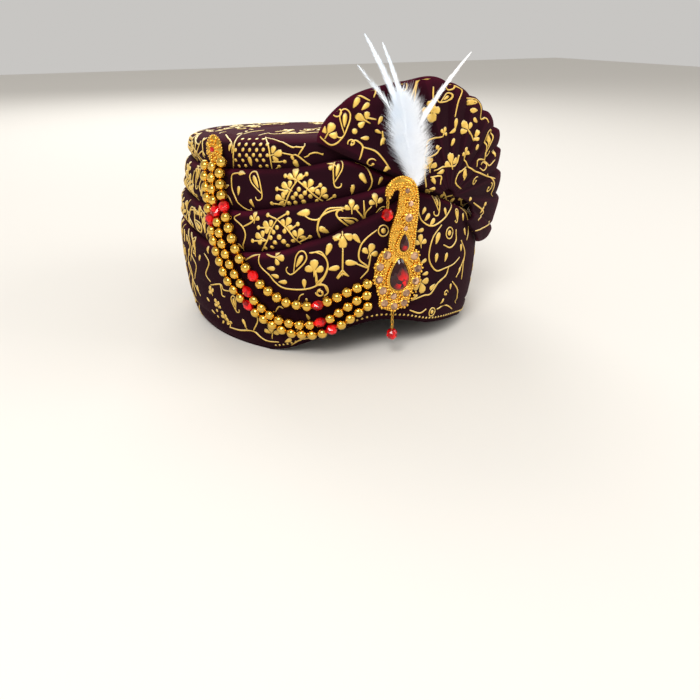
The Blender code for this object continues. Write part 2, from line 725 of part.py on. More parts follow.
def string_route(route):
    """Points along a string, from its chosen places, each a ball's seat out from the cloth."""
    rows = [(i, degrees, share) for i, (degrees, share) in enumerate(route)]
    ways = np.linspace(0, len(rows) - 1, 12 * (len(rows) - 1) + 1)
    degrees = curve(ways, rows, 1)
    heights = curve(ways, rows, 2) * CROWN_HEIGHT
    radii = np.array([seat_radius(d, h, BEAD_RADIUS) for d, h in zip(degrees, heights)])
    span = 8
    wide = np.array([radii[max(i - span, 0):i + span + 1].max() for i in range(len(radii))])
    even = np.array([wide[max(i - span, 0):i + span + 1].mean() for i in range(len(wide))])
    turns = np.radians(degrees)
    return np.stack((even * np.sin(turns), -even * np.cos(turns), heights), axis=1)


def make_bead_string(name, route):
    """A string of round beads fused to their thread."""
    path = string_route(route)
    along = np.concatenate(([0.0], np.cumsum(np.linalg.norm(np.diff(path, axis=0), axis=1))))
    count = round(along[-1] / BEAD_PITCH)
    pitch = along[-1] / count
    body = BEAD_RADIUS * 0.62
    vertices = []
    places = []
    for i in range(count):
        middle = (i + 0.5) * pitch
        places += [(i * pitch, THREAD_RADIUS), (middle - body, BEAD_RADIUS * 0.84)]
        places += [(middle + body, BEAD_RADIUS * 0.84)]
    places.append((along[-1], THREAD_RADIUS))
    for place, radius in places:
        at = [float(np.interp(place, along, path[:, k])) for k in range(3)]
        back, ahead = place - pitch / 2, place + pitch / 2
        ends = [[np.interp(spot, along, path[:, k]) for k in range(3)] for spot in (back, ahead)]
        way = (Vector(ends[1]) - Vector(ends[0])).normalized()
        out = Vector((at[0], at[1], 0)).normalized()
        side = way.cross(out).normalized()
        out = side.cross(way)
        for k in range(BEAD_SIDES):
            turn = 2 * math.pi * k / BEAD_SIDES
            vertices.append(Vector(at) + (out * math.cos(turn) + side * math.sin(turn)) * radius)
    faces = grid_faces(len(places), BEAD_SIDES, False, True)
    faces.append(tuple(range(BEAD_SIDES))[::-1])
    faces.append(tuple(range(len(vertices) - BEAD_SIDES, len(vertices))))
    smooth(new_object(name, vertices, faces, gold_material(name + "_gold")), 70)


def make_side_brooch():
    """A small flower of gold with a red stone, laid against the shoulder of the crown."""
    degrees = SIDE_BROOCH_ANGLE
    height = CROWN_HEIGHT - SIDE_BROOCH_DROP
    here = Vector(body_point(degrees, 0.0, height))
    low, high = (Vector(body_point(degrees, 0.0, height + step)) for step in (-0.004, 0.004))
    up = (high - low).normalized()
    side = Vector((math.cos(math.radians(degrees)), math.sin(math.radians(degrees)), 0))
    out = side.cross(up)
    farthest = 0.0
    for angle in np.arange(degrees - 6, degrees + 6.1, 2.0):
        for outer, _ in wrap_sections(angle).values():
            for depth, height in outer:
                spot = Vector(body_point(angle, depth, height)) - here
                if abs(spot.dot(up)) < SIDE_BROOCH_RADIUS * 1.3:
                    farthest = max(farthest, spot.dot(out))
    frame = (here + out * (farthest + SEAT_GAP), side, up, out)
    petals = []
    for i in range(2 * SIDE_BROOCH_PETALS):
        turn = math.pi * i / SIDE_BROOCH_PETALS
        reach = SIDE_BROOCH_RADIUS * (1.0 if i % 2 else 0.84)
        petals.append((reach * math.sin(turn) * 0.86, reach * math.cos(turn)))
    rise = SIDE_BROOCH_RISE
    layers = [(petals, 0.0), (petals, rise * 0.4), (scaled(petals, 0.62), rise * 0.6)]
    layers += [(scaled(petals, 0.34), rise * 0.7), (scaled(petals, 0.18), rise)]
    smooth(new_object("side_brooch", *stacked(frame, layers), gold_material("side_brooch_gold")), 40)


def make_plume(frame):
    """A flattened feather: a downy body with three long vanes fused to it."""
    white = feather_material("plume_white")
    foot = (0.063 * KALGI_LENGTH, 0.600 * KALGI_LENGTH)
    depth = HOOK_STAND_OFF / 2

    def flat_solid(name, rows):
        vertices = []
        for v, u, half, thick in rows:
            for share in (-1.0, -0.55, 0.55, 1.0, 0.55, -0.55):
                rise = 0.0 if abs(share) == 1.0 else thick / 2
                across = foot[0] + u + share * half
                vertices.append(kalgi_point(frame, across, foot[1] + v, depth + rise))
            for k in (-2, -1):
                vertices[k] = vertices[k] - frame[3] * thick
        faces = grid_faces(len(rows), 6, False, True)
        faces += [(5, 4, 3, 2, 1, 0), tuple(range(len(vertices) - 6, len(vertices)))]
        return new_object(name, vertices, faces, white)

    rows = []
    for height, middle, half in PLUME:
        thick = min(PLUME_THICKNESS * half / PLUME[3][2], PLUME_THICKNESS)
        thick = min(thick, 2 * QUILL_RADIUS) if height < 0.12 else thick
        rows.append((height * PLUME_HEIGHT, middle * PLUME_HEIGHT, half * PLUME_HEIGHT, thick))
    body = flat_solid("plume", rows)
    vanes = []
    for u0, v0, u1, v1, half in VANES:
        rows = []
        for share, width in ((0.0, 1.0), (0.35, 1.0), (0.7, 0.7), (1.0, 0.15)):
            u = u0 + (u1 - u0) * share ** 1.3
            v = v0 + (v1 - v0) * share
            wide = half * width * PLUME_HEIGHT
            rows.append((v * PLUME_HEIGHT, u * PLUME_HEIGHT, wide, 2 * QUILL_RADIUS * width))
        vanes.append(flat_solid("vane", rows))
    combined(body, vanes, "UNION")
    smooth(body, 50)


def centre_on_floor():
    """Moves every piece so that the origin is the middle of the whole, on the floor."""
    objects = [obj for obj in bpy.data.objects if obj.type == "MESH"]
    points = np.array([tuple(v.co) for obj in objects for v in obj.data.vertices])
    low, high = points.min(axis=0), points.max(axis=0)
    shift = Vector((-(low[0] + high[0]) / 2, -(low[1] + high[1]) / 2, -low[2]))
    for obj in objects:
        for vertex in obj.data.vertices:
            vertex.co += shift


def main():
    for obj in list(bpy.data.objects):
        bpy.data.objects.remove(obj)
    make_wraps()
    make_crown()
    make_fan()
    frame = kalgi_frame()
    make_kalgi(frame)
    make_drops(frame)
    make_plume(frame)
    make_side_brooch()
    for name, route in STRING_ROUTES.items():
        make_bead_string(name, route)
    centre_on_floor()


main()
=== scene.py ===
import math

import bpy
import numpy as np
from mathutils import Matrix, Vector


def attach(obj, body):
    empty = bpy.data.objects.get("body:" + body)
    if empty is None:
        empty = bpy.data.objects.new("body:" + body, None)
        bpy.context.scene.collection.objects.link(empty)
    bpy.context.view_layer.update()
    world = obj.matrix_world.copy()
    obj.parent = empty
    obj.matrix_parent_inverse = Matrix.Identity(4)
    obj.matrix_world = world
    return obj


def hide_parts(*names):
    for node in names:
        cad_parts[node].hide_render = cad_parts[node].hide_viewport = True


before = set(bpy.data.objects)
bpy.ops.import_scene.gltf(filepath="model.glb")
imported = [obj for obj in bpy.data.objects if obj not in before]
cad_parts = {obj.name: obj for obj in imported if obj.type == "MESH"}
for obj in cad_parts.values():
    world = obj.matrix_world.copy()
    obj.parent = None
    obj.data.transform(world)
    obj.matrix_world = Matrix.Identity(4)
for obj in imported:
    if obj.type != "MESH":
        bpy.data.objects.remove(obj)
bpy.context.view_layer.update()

# Camera. It stands in front of the turban, to the wearer's right and a little above it, and looks
# down at it. AXIS is where the turban's axis lies, a fraction of a millimetre from the origin.
AXIS = np.array((-0.00009, -0.00061, 0.0))
EYE = (-0.25647, -0.52044, 0.21787)
LOOK_TURN = -28.0
LOOK_DOWN = 24.6
FOCAL_PIXELS = 727.0
FRAME_PIXELS = 700.0

camera_data = bpy.data.cameras.new("view_camera")
camera_data.sensor_width = 36.0
camera_data.lens = camera_data.sensor_width * FOCAL_PIXELS / FRAME_PIXELS
camera_data.clip_start = 0.01
camera = bpy.data.objects.new("view_camera", camera_data)
camera.location = Vector(EYE) + Vector(AXIS)
camera.rotation_euler = (math.radians(90.0 - LOOK_DOWN), 0.0, math.radians(LOOK_TURN))
bpy.context.scene.collection.objects.link(camera)
bpy.context.scene.camera = camera

# Floor and light. A plain pale floor under a pale even sky, with a soft key light from the upper
# left, a weaker one from the right and one from behind.
FLOOR_SIZE = 6.0
# Name, place, size across and power
LIGHTS = (
    ("key", (-0.95, -1.15, 1.35), 0.7, 27.0),
    ("fill", (1.25, -0.75, 0.75), 1.0, 9.0),
    ("back", (0.25, 1.30, 1.05), 1.0, 12.0),
)


def new_material(name):
    """A material, its node tree and its shader."""
    material = bpy.data.materials.new(name)
    material.use_nodes = True
    return material, material.node_tree, material.node_tree.nodes["Principled BSDF"]


half = FLOOR_SIZE / 2
floor_mesh = bpy.data.meshes.new("floor")
corners = [(-half, -half, 0), (half, -half, 0), (half, half, 0), (-half, half, 0)]
floor_mesh.from_pydata(corners, [], [(0, 1, 2, 3)])
floor = bpy.data.objects.new("floor", floor_mesh)
paper, _, shader = new_material("floor_paper")
shader.inputs["Base Color"].default_value = (0.74, 0.71, 0.66, 1.0)
shader.inputs["Roughness"].default_value = 0.9
floor_mesh.materials.append(paper)
bpy.context.scene.collection.objects.link(floor)

world = bpy.data.worlds.new("studio")
world.use_nodes = True
sky = world.node_tree.nodes["Background"]
sky.inputs["Color"].default_value = (0.93, 0.91, 0.88, 1.0)
sky.inputs["Strength"].default_value = 0.62
bpy.context.scene.world = world
bpy.context.scene.view_settings.view_transform = "Standard"
for name, place, size, power in LIGHTS:
    lamp_data = bpy.data.lights.new(name, "AREA")
    lamp_data.size = size
    lamp_data.energy = power
    lamp = bpy.data.objects.new(name, lamp_data)
    lamp.location = place
    lamp.rotation_euler = Vector(place).to_track_quat("Z", "Y").to_euler()
    bpy.context.scene.collection.objects.link(lamp)

# Wound velvet. One long velvet cloth goes three times round the head and over the crown. Each turn
# ends above in a soft rolled fold and dips behind the fold of the turn below it, and the lowest
# turn is folded under at the rim, which rises over the forehead.
MM = 0.001
BELLY_HALF_WIDTH = 0.115
FRONT_REACH = 0.125
BACK_REACH = 0.133
BODY_HEIGHT = 0.136
TILT_BACK = math.tan(math.radians(3.1))
TILT_LEFT = math.tan(math.radians(2.2))
BACK_BOW = 0.137
FOREHEAD_LIFT = 0.027
WRAP_DEPTHS = {"upper_wrap": 0.008, "middle_wrap": 0.008, "low_wrap": 0.009}
WRAP_GAP = 0.0006
TUCK_RISE = 0.006
RIM_FOLD_HEIGHT = 0.012
RIM_FOLD_DEPTH = 0.0014
FOOT_STEP = 0.002  # each turn's foot above that of the turn outside it
FOOT_ROUND = 0.0004
CLOTH_STEP = 1.5  # degrees between columns of the mesh

# Height and radius, as shares of the body's height and plan radius
PROFILE = (
    (0.00, 0.932), (0.07, 0.958), (0.26, 0.990), (0.45, 1.000), (0.60, 0.985),
    (0.74, 0.957), (0.88, 0.922), (0.97, 0.893), (1.00, 0.850),
)
# Angle from the middle of the forehead, then the rim's lift as a share of its highest
RIM = (
    (-50, 0.00), (-43, 0.12), (-36, 0.33), (-27, 0.63), (-20, 0.84), (-10, 1.00), (-2, 0.92),
    (10, 0.64), (27, 0.42), (45, 0.08), (55, 0.00),
)
# Angle, then the height of the upper, middle and low turn's fold as shares of the body's height
FOLDS = (
    (-180, 0.870, 0.690, 0.500), (-102, 0.875, 0.695, 0.540), (-79, 0.871, 0.688, 0.507),
    (-60, 0.882, 0.691, 0.497), (-49, 0.890, 0.709, 0.512), (-41, 0.897, 0.729, 0.533),
    (-32, 0.912, 0.751, 0.581), (-26, 0.928, 0.762, 0.605), (-21, 0.938, 0.775, 0.640),
    (-16, 0.925, 0.790, 0.670), (-11, 0.895, 0.805, 0.697), (-5, 0.866, 0.820, 0.735),
    (3, 0.860, 0.825, 0.787), (8, 0.862, 0.822, 0.775), (12, 0.868, 0.812, 0.757),
    (18, 0.878, 0.790, 0.728), (24, 0.886, 0.768, 0.695), (35, 0.892, 0.735, 0.640),
    (45, 0.892, 0.712, 0.588), (60, 0.890, 0.695, 0.500), (80, 0.880, 0.690, 0.462),
    (110, 0.872, 0.690, 0.470), (180, 0.870, 0.690, 0.500),
)
FOLD_COLUMN = {"upper_wrap": 1, "middle_wrap": 2, "low_wrap": 3}


def curve(at, rows, column):
    """Smooth value of a table's column at places in its first column, with no overshoot."""
    xs = np.array([row[0] for row in rows], float)
    ys = np.array([row[column] for row in rows], float)
    steps = np.diff(xs)
    slopes = np.diff(ys) / steps
    product = slopes[:-1] * slopes[1:]
    total = np.where(product > 0, slopes[:-1] + slopes[1:], 1.0)
    inner = np.where(product > 0, 2 * product / total, 0.0)
    tangents = np.concatenate(([slopes[0]], inner, [slopes[-1]]))
    at = np.clip(at, xs[0], xs[-1])
    i = np.clip(np.searchsorted(xs, at, "right") - 1, 0, len(xs) - 2)
    t = (at - xs[i]) / steps[i]
    start = (1 + 2 * t) * (1 - t) ** 2 * ys[i] + t * (1 - t) ** 2 * steps[i] * tangents[i]
    end = t * t * (3 - 2 * t) * ys[i + 1] + t * t * (t - 1) * steps[i] * tangents[i + 1]
    return start + end


def plan_radius(degrees):
    angle = np.radians(degrees)
    reach = np.where(np.cos(angle) > 0, FRONT_REACH, BACK_REACH)
    return 1 / np.hypot(np.cos(angle) / reach, np.sin(angle) / BELLY_HALF_WIDTH)


def wrapped(degrees):
    return (np.asarray(degrees, float) + 180.0) % 360.0 - 180.0


def body_radius(degrees, height):
    return plan_radius(degrees) * curve(height / BODY_HEIGHT, PROFILE, 1)


def fold_height(wrap, degrees):
    return BODY_HEIGHT * curve(wrapped(degrees), FOLDS, FOLD_COLUMN[wrap])


def rim_height(degrees):
    return FOREHEAD_LIFT * curve(wrapped(degrees), RIM, 1)


def body_points(degrees, radius, height):
    """Points at radii and heights, with the crown's plane tilted back and to the wearer's left."""
    x = radius * np.sin(np.radians(degrees))
    y = -radius * np.cos(np.radians(degrees))
    fall = TILT_LEFT * x + TILT_BACK * y - BACK_BOW * y * y
    return np.stack((x, y, height - fall * height / BODY_HEIGHT), axis=-1) + AXIS


def tuck(height, fold, depth):
    """Share of a covering turn's depth: none well above its fold, all of it below."""
    return np.clip((fold + TUCK_RISE - height) / (TUCK_RISE + depth / 2), 0.0, 1.0)


def soft_step(x):
    x = np.clip(x, 0.0, 1.0)
    return x * x * (3 - 2 * x)


def cover_depth(wrap, degrees, height):
    """How far the turns below push a turn's face in, at a height."""
    depth = np.zeros(np.broadcast(degrees, height).shape)
    covers = {"low_wrap": (), "middle_wrap": ("low_wrap",), "upper_wrap": ("low_wrap", "middle_wrap"),
              "crown": ("low_wrap", "middle_wrap", "upper_wrap")}[wrap]
    for cover in covers:
        step = WRAP_DEPTHS[cover] + WRAP_GAP
        depth = depth + step * tuck(height, fold_height(cover, degrees), WRAP_DEPTHS[cover])
    return depth


def soft_folds(wrap, degrees, height):
    """Shallow creases and swells that the pull of the cloth leaves on its open face."""
    angle = np.radians(degrees)
    seed = {"low_wrap": 0.0, "middle_wrap": 1.7, "upper_wrap": 3.1, "crown": 4.6}[wrap]
    swell = 0.45 * np.sin(3 * angle + seed) + 0.3 * np.sin(7 * angle - 2 * seed + 60 * height)
    slant = height / MM + 5.0 * np.sin(2 * angle + seed) + 2.2 * np.sin(5 * angle + 2 * seed)
    crease = np.exp(-((slant % 23.0 - 11.5) / 2.1) ** 2) * (0.55 + 0.45 * np.sin(4 * angle + seed))
    side = 0.35 + 0.65 * soft_step((np.abs(wrapped(degrees + 8)) - 45) / 50)
    return MM * (0.5 * swell - 0.95 * crease * side)


def face_depth(wrap, degrees, height):
    """Depth of a turn's open face inside the body's outline, its fold rolled over at the top."""
    depth = WRAP_DEPTHS[wrap]
    below = np.clip((fold_height(wrap, degrees) - height) / (depth / 2), 0.0, 1.0)
    roll = depth / 2 * (1 - np.sqrt(1 - (1 - below) ** 2))
    inside = cover_depth(wrap, degrees, height) + roll
    inside = inside - soft_folds(wrap, degrees, height) * soft_step(below)
    if wrap == "low_wrap":
        up = (height - rim_height(degrees)) / RIM_FOLD_HEIGHT
        inside = inside + RIM_FOLD_DEPTH * np.exp(-((up - 1) / 0.13) ** 2)
        inside = inside + RIM_FOLD_DEPTH * 1.6 * soft_step((0.3 - up) / 0.3)
    return inside


def face_points(wrap, degrees, height, lift=0.0):
    radius = body_radius(degrees, height) - face_depth(wrap, degrees, height) + lift
    return body_points(degrees, radius, height)


def mesh_piece(name, points, faces, material, smooth=True):
    mesh = bpy.data.meshes.new(name)
    mesh.from_pydata(np.asarray(points, float).reshape(-1, 3).tolist(), [], faces)
    mesh.materials.append(material)
    if smooth:
        mesh.shade_smooth()
    piece = bpy.data.objects.new(name, mesh)
    bpy.context.scene.collection.objects.link(piece)
    return piece


def sheet_faces(rows, columns, closed_rows=False, closed_columns=False):
    """Quads over a grid of points, row by row."""
    i, j = np.meshgrid(np.arange(rows if closed_rows else rows - 1),
                       np.arange(columns if closed_columns else columns - 1), indexing="ij")
    down, across = (i + 1) % rows, (j + 1) % columns
    corners = (i * columns + j, i * columns + across, down * columns + across, down * columns + j)
    return np.stack(corners, axis=-1).reshape(-1, 4).tolist()


def mark_painted_sheen(piece, values):
    """Stores how close each point is to a fold's edge, for the velvet's painted red sheen there."""
    attribute = piece.data.attributes.new("fold", "FLOAT", "POINT")
    attribute.data.foreach_set("value", np.clip(np.asarray(values, float).ravel(), 0.0, 1.0))


def link(tree, *wires):
    for source, target in wires:
        tree.links.new(source, target)


def group_tree(name, inputs, outputs):
    """An empty shader node group with named sockets."""
    tree = bpy.data.node_groups.new(name, "ShaderNodeTree")
    for label, kind, value in inputs:
        socket = tree.interface.new_socket(label, in_out="INPUT", socket_type=kind)
        socket.default_value = value
    for label, kind in outputs:
        tree.interface.new_socket(label, in_out="OUTPUT", socket_type=kind)
    return tree, tree.nodes.new("NodeGroupInput"), tree.nodes.new("NodeGroupOutput")


def pile_group():
    """Cloth pile: a mask of brushed patches, and the fine height of its fibres."""
    tree, inward, outward = group_tree(
        "cloth_pile",
        (("Patch Size", "NodeSocketFloat", 60.0), ("Fibre Size", "NodeSocketFloat", 1800.0)),
        (("Patches", "NodeSocketFloat"), ("Fibres", "NodeSocketFloat")),
    )
    place = tree.nodes.new("ShaderNodeTexCoord")
    patches = tree.nodes.new("ShaderNodeTexNoise")
    patches.inputs["Detail"].default_value = 3.0
    fibres = tree.nodes.new("ShaderNodeTexNoise")
    fibres.inputs["Detail"].default_value = 1.0
    for noise, size, height in ((patches, "Patch Size", "Patches"), (fibres, "Fibre Size", "Fibres")):
        link(tree, (place.outputs["Object"], noise.inputs["Vector"]),
             (inward.outputs[size], noise.inputs["Scale"]), (noise.outputs["Fac"], outward.inputs[height]))
    return tree


cloth_pile = pile_group()


def add_mix(tree, first, second):
    """A mix of two colours: input 0 is its share, 6 and 7 the colours, and output 2 the result."""
    mix = tree.nodes.new("ShaderNodeMix")
    mix.data_type = "RGBA"
    for place, colour in ((6, first), (7, second)):
        if colour:
            mix.inputs[place].default_value = (*colour, 1.0)
    return mix


def add_pile(tree, shader, sizes, roughness, bump_strength, bump_distance):
    """A pile whose patches set the shader's roughness, and whose fibres raise a bump on it."""
    pile = tree.nodes.new("ShaderNodeGroup")
    pile.node_tree = cloth_pile
    pile.inputs["Patch Size"].default_value, pile.inputs["Fibre Size"].default_value = sizes
    rough = tree.nodes.new("ShaderNodeMapRange")
    rough.inputs["To Min"].default_value, rough.inputs["To Max"].default_value = roughness
    bump = tree.nodes.new("ShaderNodeBump")
    bump.inputs["Strength"].default_value = bump_strength
    bump.inputs["Distance"].default_value = bump_distance
    link(tree, (pile.outputs["Patches"], rough.inputs["Value"]),
         (rough.outputs["Result"], shader.inputs["Roughness"]),
         (pile.outputs["Fibres"], bump.inputs["Height"]), (bump.outputs["Normal"], shader.inputs["Normal"]))
    return pile


def velvet_material(name):
    """Dark maroon velvet, brushed lighter in patches, with a painted red sheen along its folds and edges."""
    material, tree, shader = new_material(name)
    pile = add_pile(tree, shader, (60.0, 1800.0), (0.78, 0.95), 0.35, 0.0004)
    # The fold attribute mixes a red painted highlight into the colour: a painted sheen along folds and edges.
    fold = tree.nodes.new("ShaderNodeAttribute")
    fold.attribute_name = "fold"
    brushed = add_mix(tree, (0.0085, 0.0010, 0.0032), (0.0200, 0.0022, 0.0065))
    painted_glow = add_mix(tree, None, (0.085, 0.004, 0.018))
    link(tree, (pile.outputs["Patches"], brushed.inputs[0]), (fold.outputs["Fac"], painted_glow.inputs[0]),
         (brushed.outputs[2], painted_glow.inputs[6]), (painted_glow.outputs[2], shader.inputs["Base Color"]))
    shader.inputs["Sheen Weight"].default_value = 0.035
    shader.inputs["Sheen Roughness"].default_value = 0.35
    shader.inputs["Sheen Tint"].default_value = (0.75, 0.16, 0.26, 1.0)
    shader.inputs["Specular IOR Level"].default_value = 0.08
    return material


velvet = velvet_material("printed_velvet")
turns = np.arange(-180.0, 180.0, CLOTH_STEP)


def straight_depth(degrees, height):
    """Extra depth that keeps the covered walls straight from the low fold to the rim."""
    rim = rim_height(degrees)
    seat = fold_height("low_wrap", degrees) - WRAP_DEPTHS["low_wrap"] / 2
    share = np.clip((height - rim) / (seat - rim), 0.0, 1.0)
    between = body_radius(degrees, rim) * (1 - share) + body_radius(degrees, seat) * share
    return body_radius(degrees, height) - between


def wrap_rows(wrap, number):
    """Depth and height of each row of a turn's closed section, from its fold's top down its face."""
    depth = WRAP_DEPTHS[wrap]
    top = fold_height(wrap, turns)
    foot = rim_height(turns) + FOOT_STEP * number
    rows = []
    for t in np.linspace(0.0, 1.0, 7):
        height = top - depth / 2 * (1 - math.cos(t * math.pi / 2))
        rows.append((face_depth(wrap, turns, height), height))
    if number:
        cover = {"middle_wrap": "low_wrap", "upper_wrap": "middle_wrap"}[wrap]
        last = fold_height(cover, turns) - WRAP_DEPTHS[cover] / 2
    else:
        last = foot + FOOT_ROUND
    open_top = top - depth / 2
    for t in np.linspace(0.0, 1.0, 34 if number == 0 else 16)[1:]:
        height = open_top + (last - open_top) * t
        rows.append((face_depth(wrap, turns, height), height))
    inset = sum(WRAP_DEPTHS[w] + WRAP_GAP for w in ("low_wrap", "middle_wrap")[:number])
    seat = fold_height("low_wrap", turns) - WRAP_DEPTHS["low_wrap"] / 2
    if number:
        for t in np.linspace(0.0, 1.0, 5):
            height = np.minimum(seat, last - 0.0005) * (1 - t) + foot * t
            rows.append((inset + straight_depth(turns, height), height))
    for share in (0.12, 0.5, 0.88):
        rows.append((inset + straight_depth(turns, foot) + depth * share, foot - FOOT_ROUND))
    for t in np.linspace(0.0, 1.0, 5)[1:]:
        height = foot * (1 - t) + seat * t
        rows.append((inset + straight_depth(turns, height) + depth, height))
    if number:
        for t in np.linspace(0.0, 1.0, 6)[1:]:
            height = seat + (open_top - seat) * t
            rows.append((cover_depth(wrap, turns, height) + depth, height))
    base = cover_depth(wrap, turns, open_top)
    for t in (0.3, 0.6, 0.85):
        height = open_top + depth / 2 * math.sin(t * math.pi / 2)
        rows.append((base + depth / 2 + depth / 2 * math.cos(t * math.pi / 2), height))
    return rows


for number, wrap in enumerate(("low_wrap", "middle_wrap", "upper_wrap")):
    rows = wrap_rows(wrap, number)
    points = np.stack([body_points(turns, body_radius(turns, h) - d, h) for d, h in rows])
    faces = sheet_faces(len(rows), len(turns), True, True)
    cloth = mesh_piece(wrap + "_velvet", points, faces, velvet)
    top = fold_height(wrap, turns)
    # Each turn's fold crest gets the painted red sheen, a painted highlight along the rolled edge.
    edge = np.array([np.exp(-(((top - h) / MM - 1.2) / 1.6) ** 2) * (i < 12)
                     for i, (d, h) in enumerate(rows)])
    mark_painted_sheen(cloth, 0.75 * edge * (0.6 + 0.4 * np.sin(np.radians(turns) * 5 + number)))
    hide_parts(wrap)
    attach(cloth, "root")

# Crown. The last of the cloth covers the head in one nearly flat sheet, rounded over at the
# shoulder, and goes down inside the wound turns as the lining of the head hollow.
CROWN_WALL = 0.008
CROWN_CLOTH = 0.004
CROWN_RISE = 0.006
SHOULDER_ROUND = 0.007
FRONT_SWELL = 0.0045


def crown_face(degrees, height):
    """Depth of the crown's open face, its shoulder rounded over at the top."""
    up = np.clip((height - BODY_HEIGHT * 0.955) / (BODY_HEIGHT * 0.045), 0.0, 1.0)
    roll = SHOULDER_ROUND * (1 - np.sqrt(1 - up * up * 0.96))
    folds = soft_folds("crown", degrees, height) * (1 - up)
    return cover_depth("crown", degrees, height) + roll - folds


def crown_points(degrees, way, lift=0.0):
    """The crown from the upper turn's fold (way 0) over the shoulder (1) to the middle (2)."""
    degrees, way = np.broadcast_arrays(np.asarray(degrees, float), np.asarray(way, float))
    low = fold_height("upper_wrap", degrees) - WRAP_DEPTHS["upper_wrap"] / 2
    side = np.clip(way, 0.0, 1.0)
    inward = np.clip(way - 1.0, 0.0, 1.0)
    height = low + (BODY_HEIGHT - low) * side
    radius = (body_radius(degrees, height) - crown_face(degrees, height)) * (1 - inward)
    front = 0.5 + 0.5 * np.cos(np.radians(degrees + 15))
    rise = FRONT_SWELL * front * soft_step(side) * np.cos(inward * math.pi / 2)
    rise = rise + CROWN_RISE * (1 - (1 - inward) ** 2)
    folds = 0.0007 * np.sin(8 * np.radians(degrees) + 9 * inward) * np.sin(inward * math.pi) ** 2
    steep = 1.0 - soft_step(inward / 0.15) * 0.95
    return body_points(degrees, radius + lift * steep, height + rise + folds + lift * (1 - steep * 0.7))


ways = np.concatenate((np.linspace(0.0, 1.0, 16), 1.0 + np.linspace(0, 0.98, 26)[1:] ** 1.15))
outside = [crown_points(turns, way) for way in ways]
seats = {w: fold_height(w, turns) - WRAP_DEPTHS[w] / 2 for w in WRAP_DEPTHS}
foot = rim_height(turns) + 3 * FOOT_STEP
inset = sum(WRAP_DEPTHS.values()) + 3 * WRAP_GAP


def covered_radius(height):
    """The crown's own radius where all three turns cover it."""
    return body_radius(turns, height) - inset - straight_depth(turns, height)


hidden = []
for height in (foot, foot + 0.3 * (seats["low_wrap"] - foot), seats["low_wrap"]):
    hidden.append(body_points(turns, covered_radius(height), height))
for height in (seats["middle_wrap"], seats["upper_wrap"] - 0.001):
    radius = body_radius(turns, height) - cover_depth("crown", turns, height)
    hidden.append(body_points(turns, radius, height))
hollow = body_radius(turns, BODY_HEIGHT / 2) - inset - CROWN_WALL
foot_radius = covered_radius(foot) - CROWN_CLOTH
ceiling = BODY_HEIGHT - CROWN_CLOTH
lining = [body_points(turns, hollow * share, height + 0 * turns) for share, height in (
    (0.06, ceiling), (0.4, ceiling), (0.7, ceiling - 0.001), (0.86, ceiling - 0.002), (0.95, ceiling - 0.006),
    (1.0, BODY_HEIGHT * 0.82), (1.0, BODY_HEIGHT * 0.68), (1.0, BODY_HEIGHT * 0.5))]
for t in (0.5, 1.0):
    height = BODY_HEIGHT * 0.5 + (foot - BODY_HEIGHT * 0.5) * t
    lining.append(body_points(turns, hollow + (foot_radius - hollow) * t, height))
rings = outside[::-1] + hidden[::-1] + lining[::-1]
faces = sheet_faces(len(rings), len(turns), False, True)
last = (len(rings) - 1) * len(turns)
faces.append(list(range(len(turns)))[::-1])
faces.append([last + i for i in range(len(turns))])
crown = mesh_piece("crown_velvet", np.stack(rings), faces, velvet)
# The crown's top gets a weaker share of the painted red sheen: painted light on the surface that faces up.
painted_sheen_rows = np.arange(len(rings)) < len(ways) - 13
mark_painted_sheen(crown, np.repeat(0.40 * painted_sheen_rows, len(turns)))
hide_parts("crown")
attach(crown, "root")

# Pleated fan. The free end of the same velvet is stiffened, pleated and spread like a fan behind
# the brooch. Its pleats are pressed over one another from the root and its rim is softly scalloped.
FAN_REACH = 0.080
FAN_ROOT_ANGLE = 14.6
FAN_ROOT_HEIGHT = 0.1075
FAN_SWING = 0.012
FAN_CLOTH = 0.0022
FAN_BACK_LEAN = 0.06
FAN_PLEATS = 12
FAN_SEAT = 0.0008
PLEAT_DEPTH = 0.0030
PLEAT_FOLD_SHARE = 0.80
SCALLOP = 0.008
RIM_START = 0.985  # way from root to rim where the edge begins to round over

# Angle round the root, reach as a share of the fan's reach, and how far along it the cloth starts
FAN_RIM = (
    (-42, 0.80, 0.50), (-36, 0.96, 0.47), (-30, 1.06, 0.44), (-22, 1.09, 0.38), (-16, 1.03, 0.26),
    (-9, 0.95, 0.12), (0, 0.885, 0.08), (9, 0.83, 0.08), (16, 0.815, 0.08), (27, 0.80, 0.08),
    (45, 0.79, 0.08), (65, 0.81, 0.08), (82, 0.87, 0.08), (99, 0.97, 0.08), (112, 1.01, 0.08),
    (121, 1.07, 0.08), (137, 1.19, 0.08), (150, 1.23, 0.08), (156, 1.22, 0.08),
)
# Angle on the body, then how far the rim stands out there, as a share of the swing
FAN_STAND = ((-60, -0.80), (0, -0.80), (15, -0.40), (30, 0.30), (50, 0.95), (65, 1.00), (90, 0.90))
GRID_STEP = 0.001
GRID_ANGLES = np.arange(-75.0, 130.0, 1.0)
GRID_HEIGHTS = np.arange(0.0, 0.170, GRID_STEP)


def outermost_cloth():
    """Radius of the outermost turn on a grid of angles and true heights."""
    reach = np.zeros((len(GRID_ANGLES), len(GRID_HEIGHTS)))
    top = {wrap: fold_height(wrap, GRID_ANGLES) for wrap in WRAP_DEPTHS}
    for wrap in (*WRAP_DEPTHS, "crown"):
        for share in np.linspace(0.0, 1.0, 240):
            if wrap == "crown":
                spots = crown_points(GRID_ANGLES, share) - AXIS
            else:
                height = top[wrap] - share * (top[wrap] - rim_height(GRID_ANGLES))
                spots = face_points(wrap, GRID_ANGLES, height) - AXIS
            row = np.clip(np.rint(spots[:, 2] / GRID_STEP).astype(int), 0, len(GRID_HEIGHTS) - 1)
            radius = np.hypot(spots[:, 0], spots[:, 1])
            np.maximum.at(reach, (np.arange(len(GRID_ANGLES)), row), radius)
    return reach


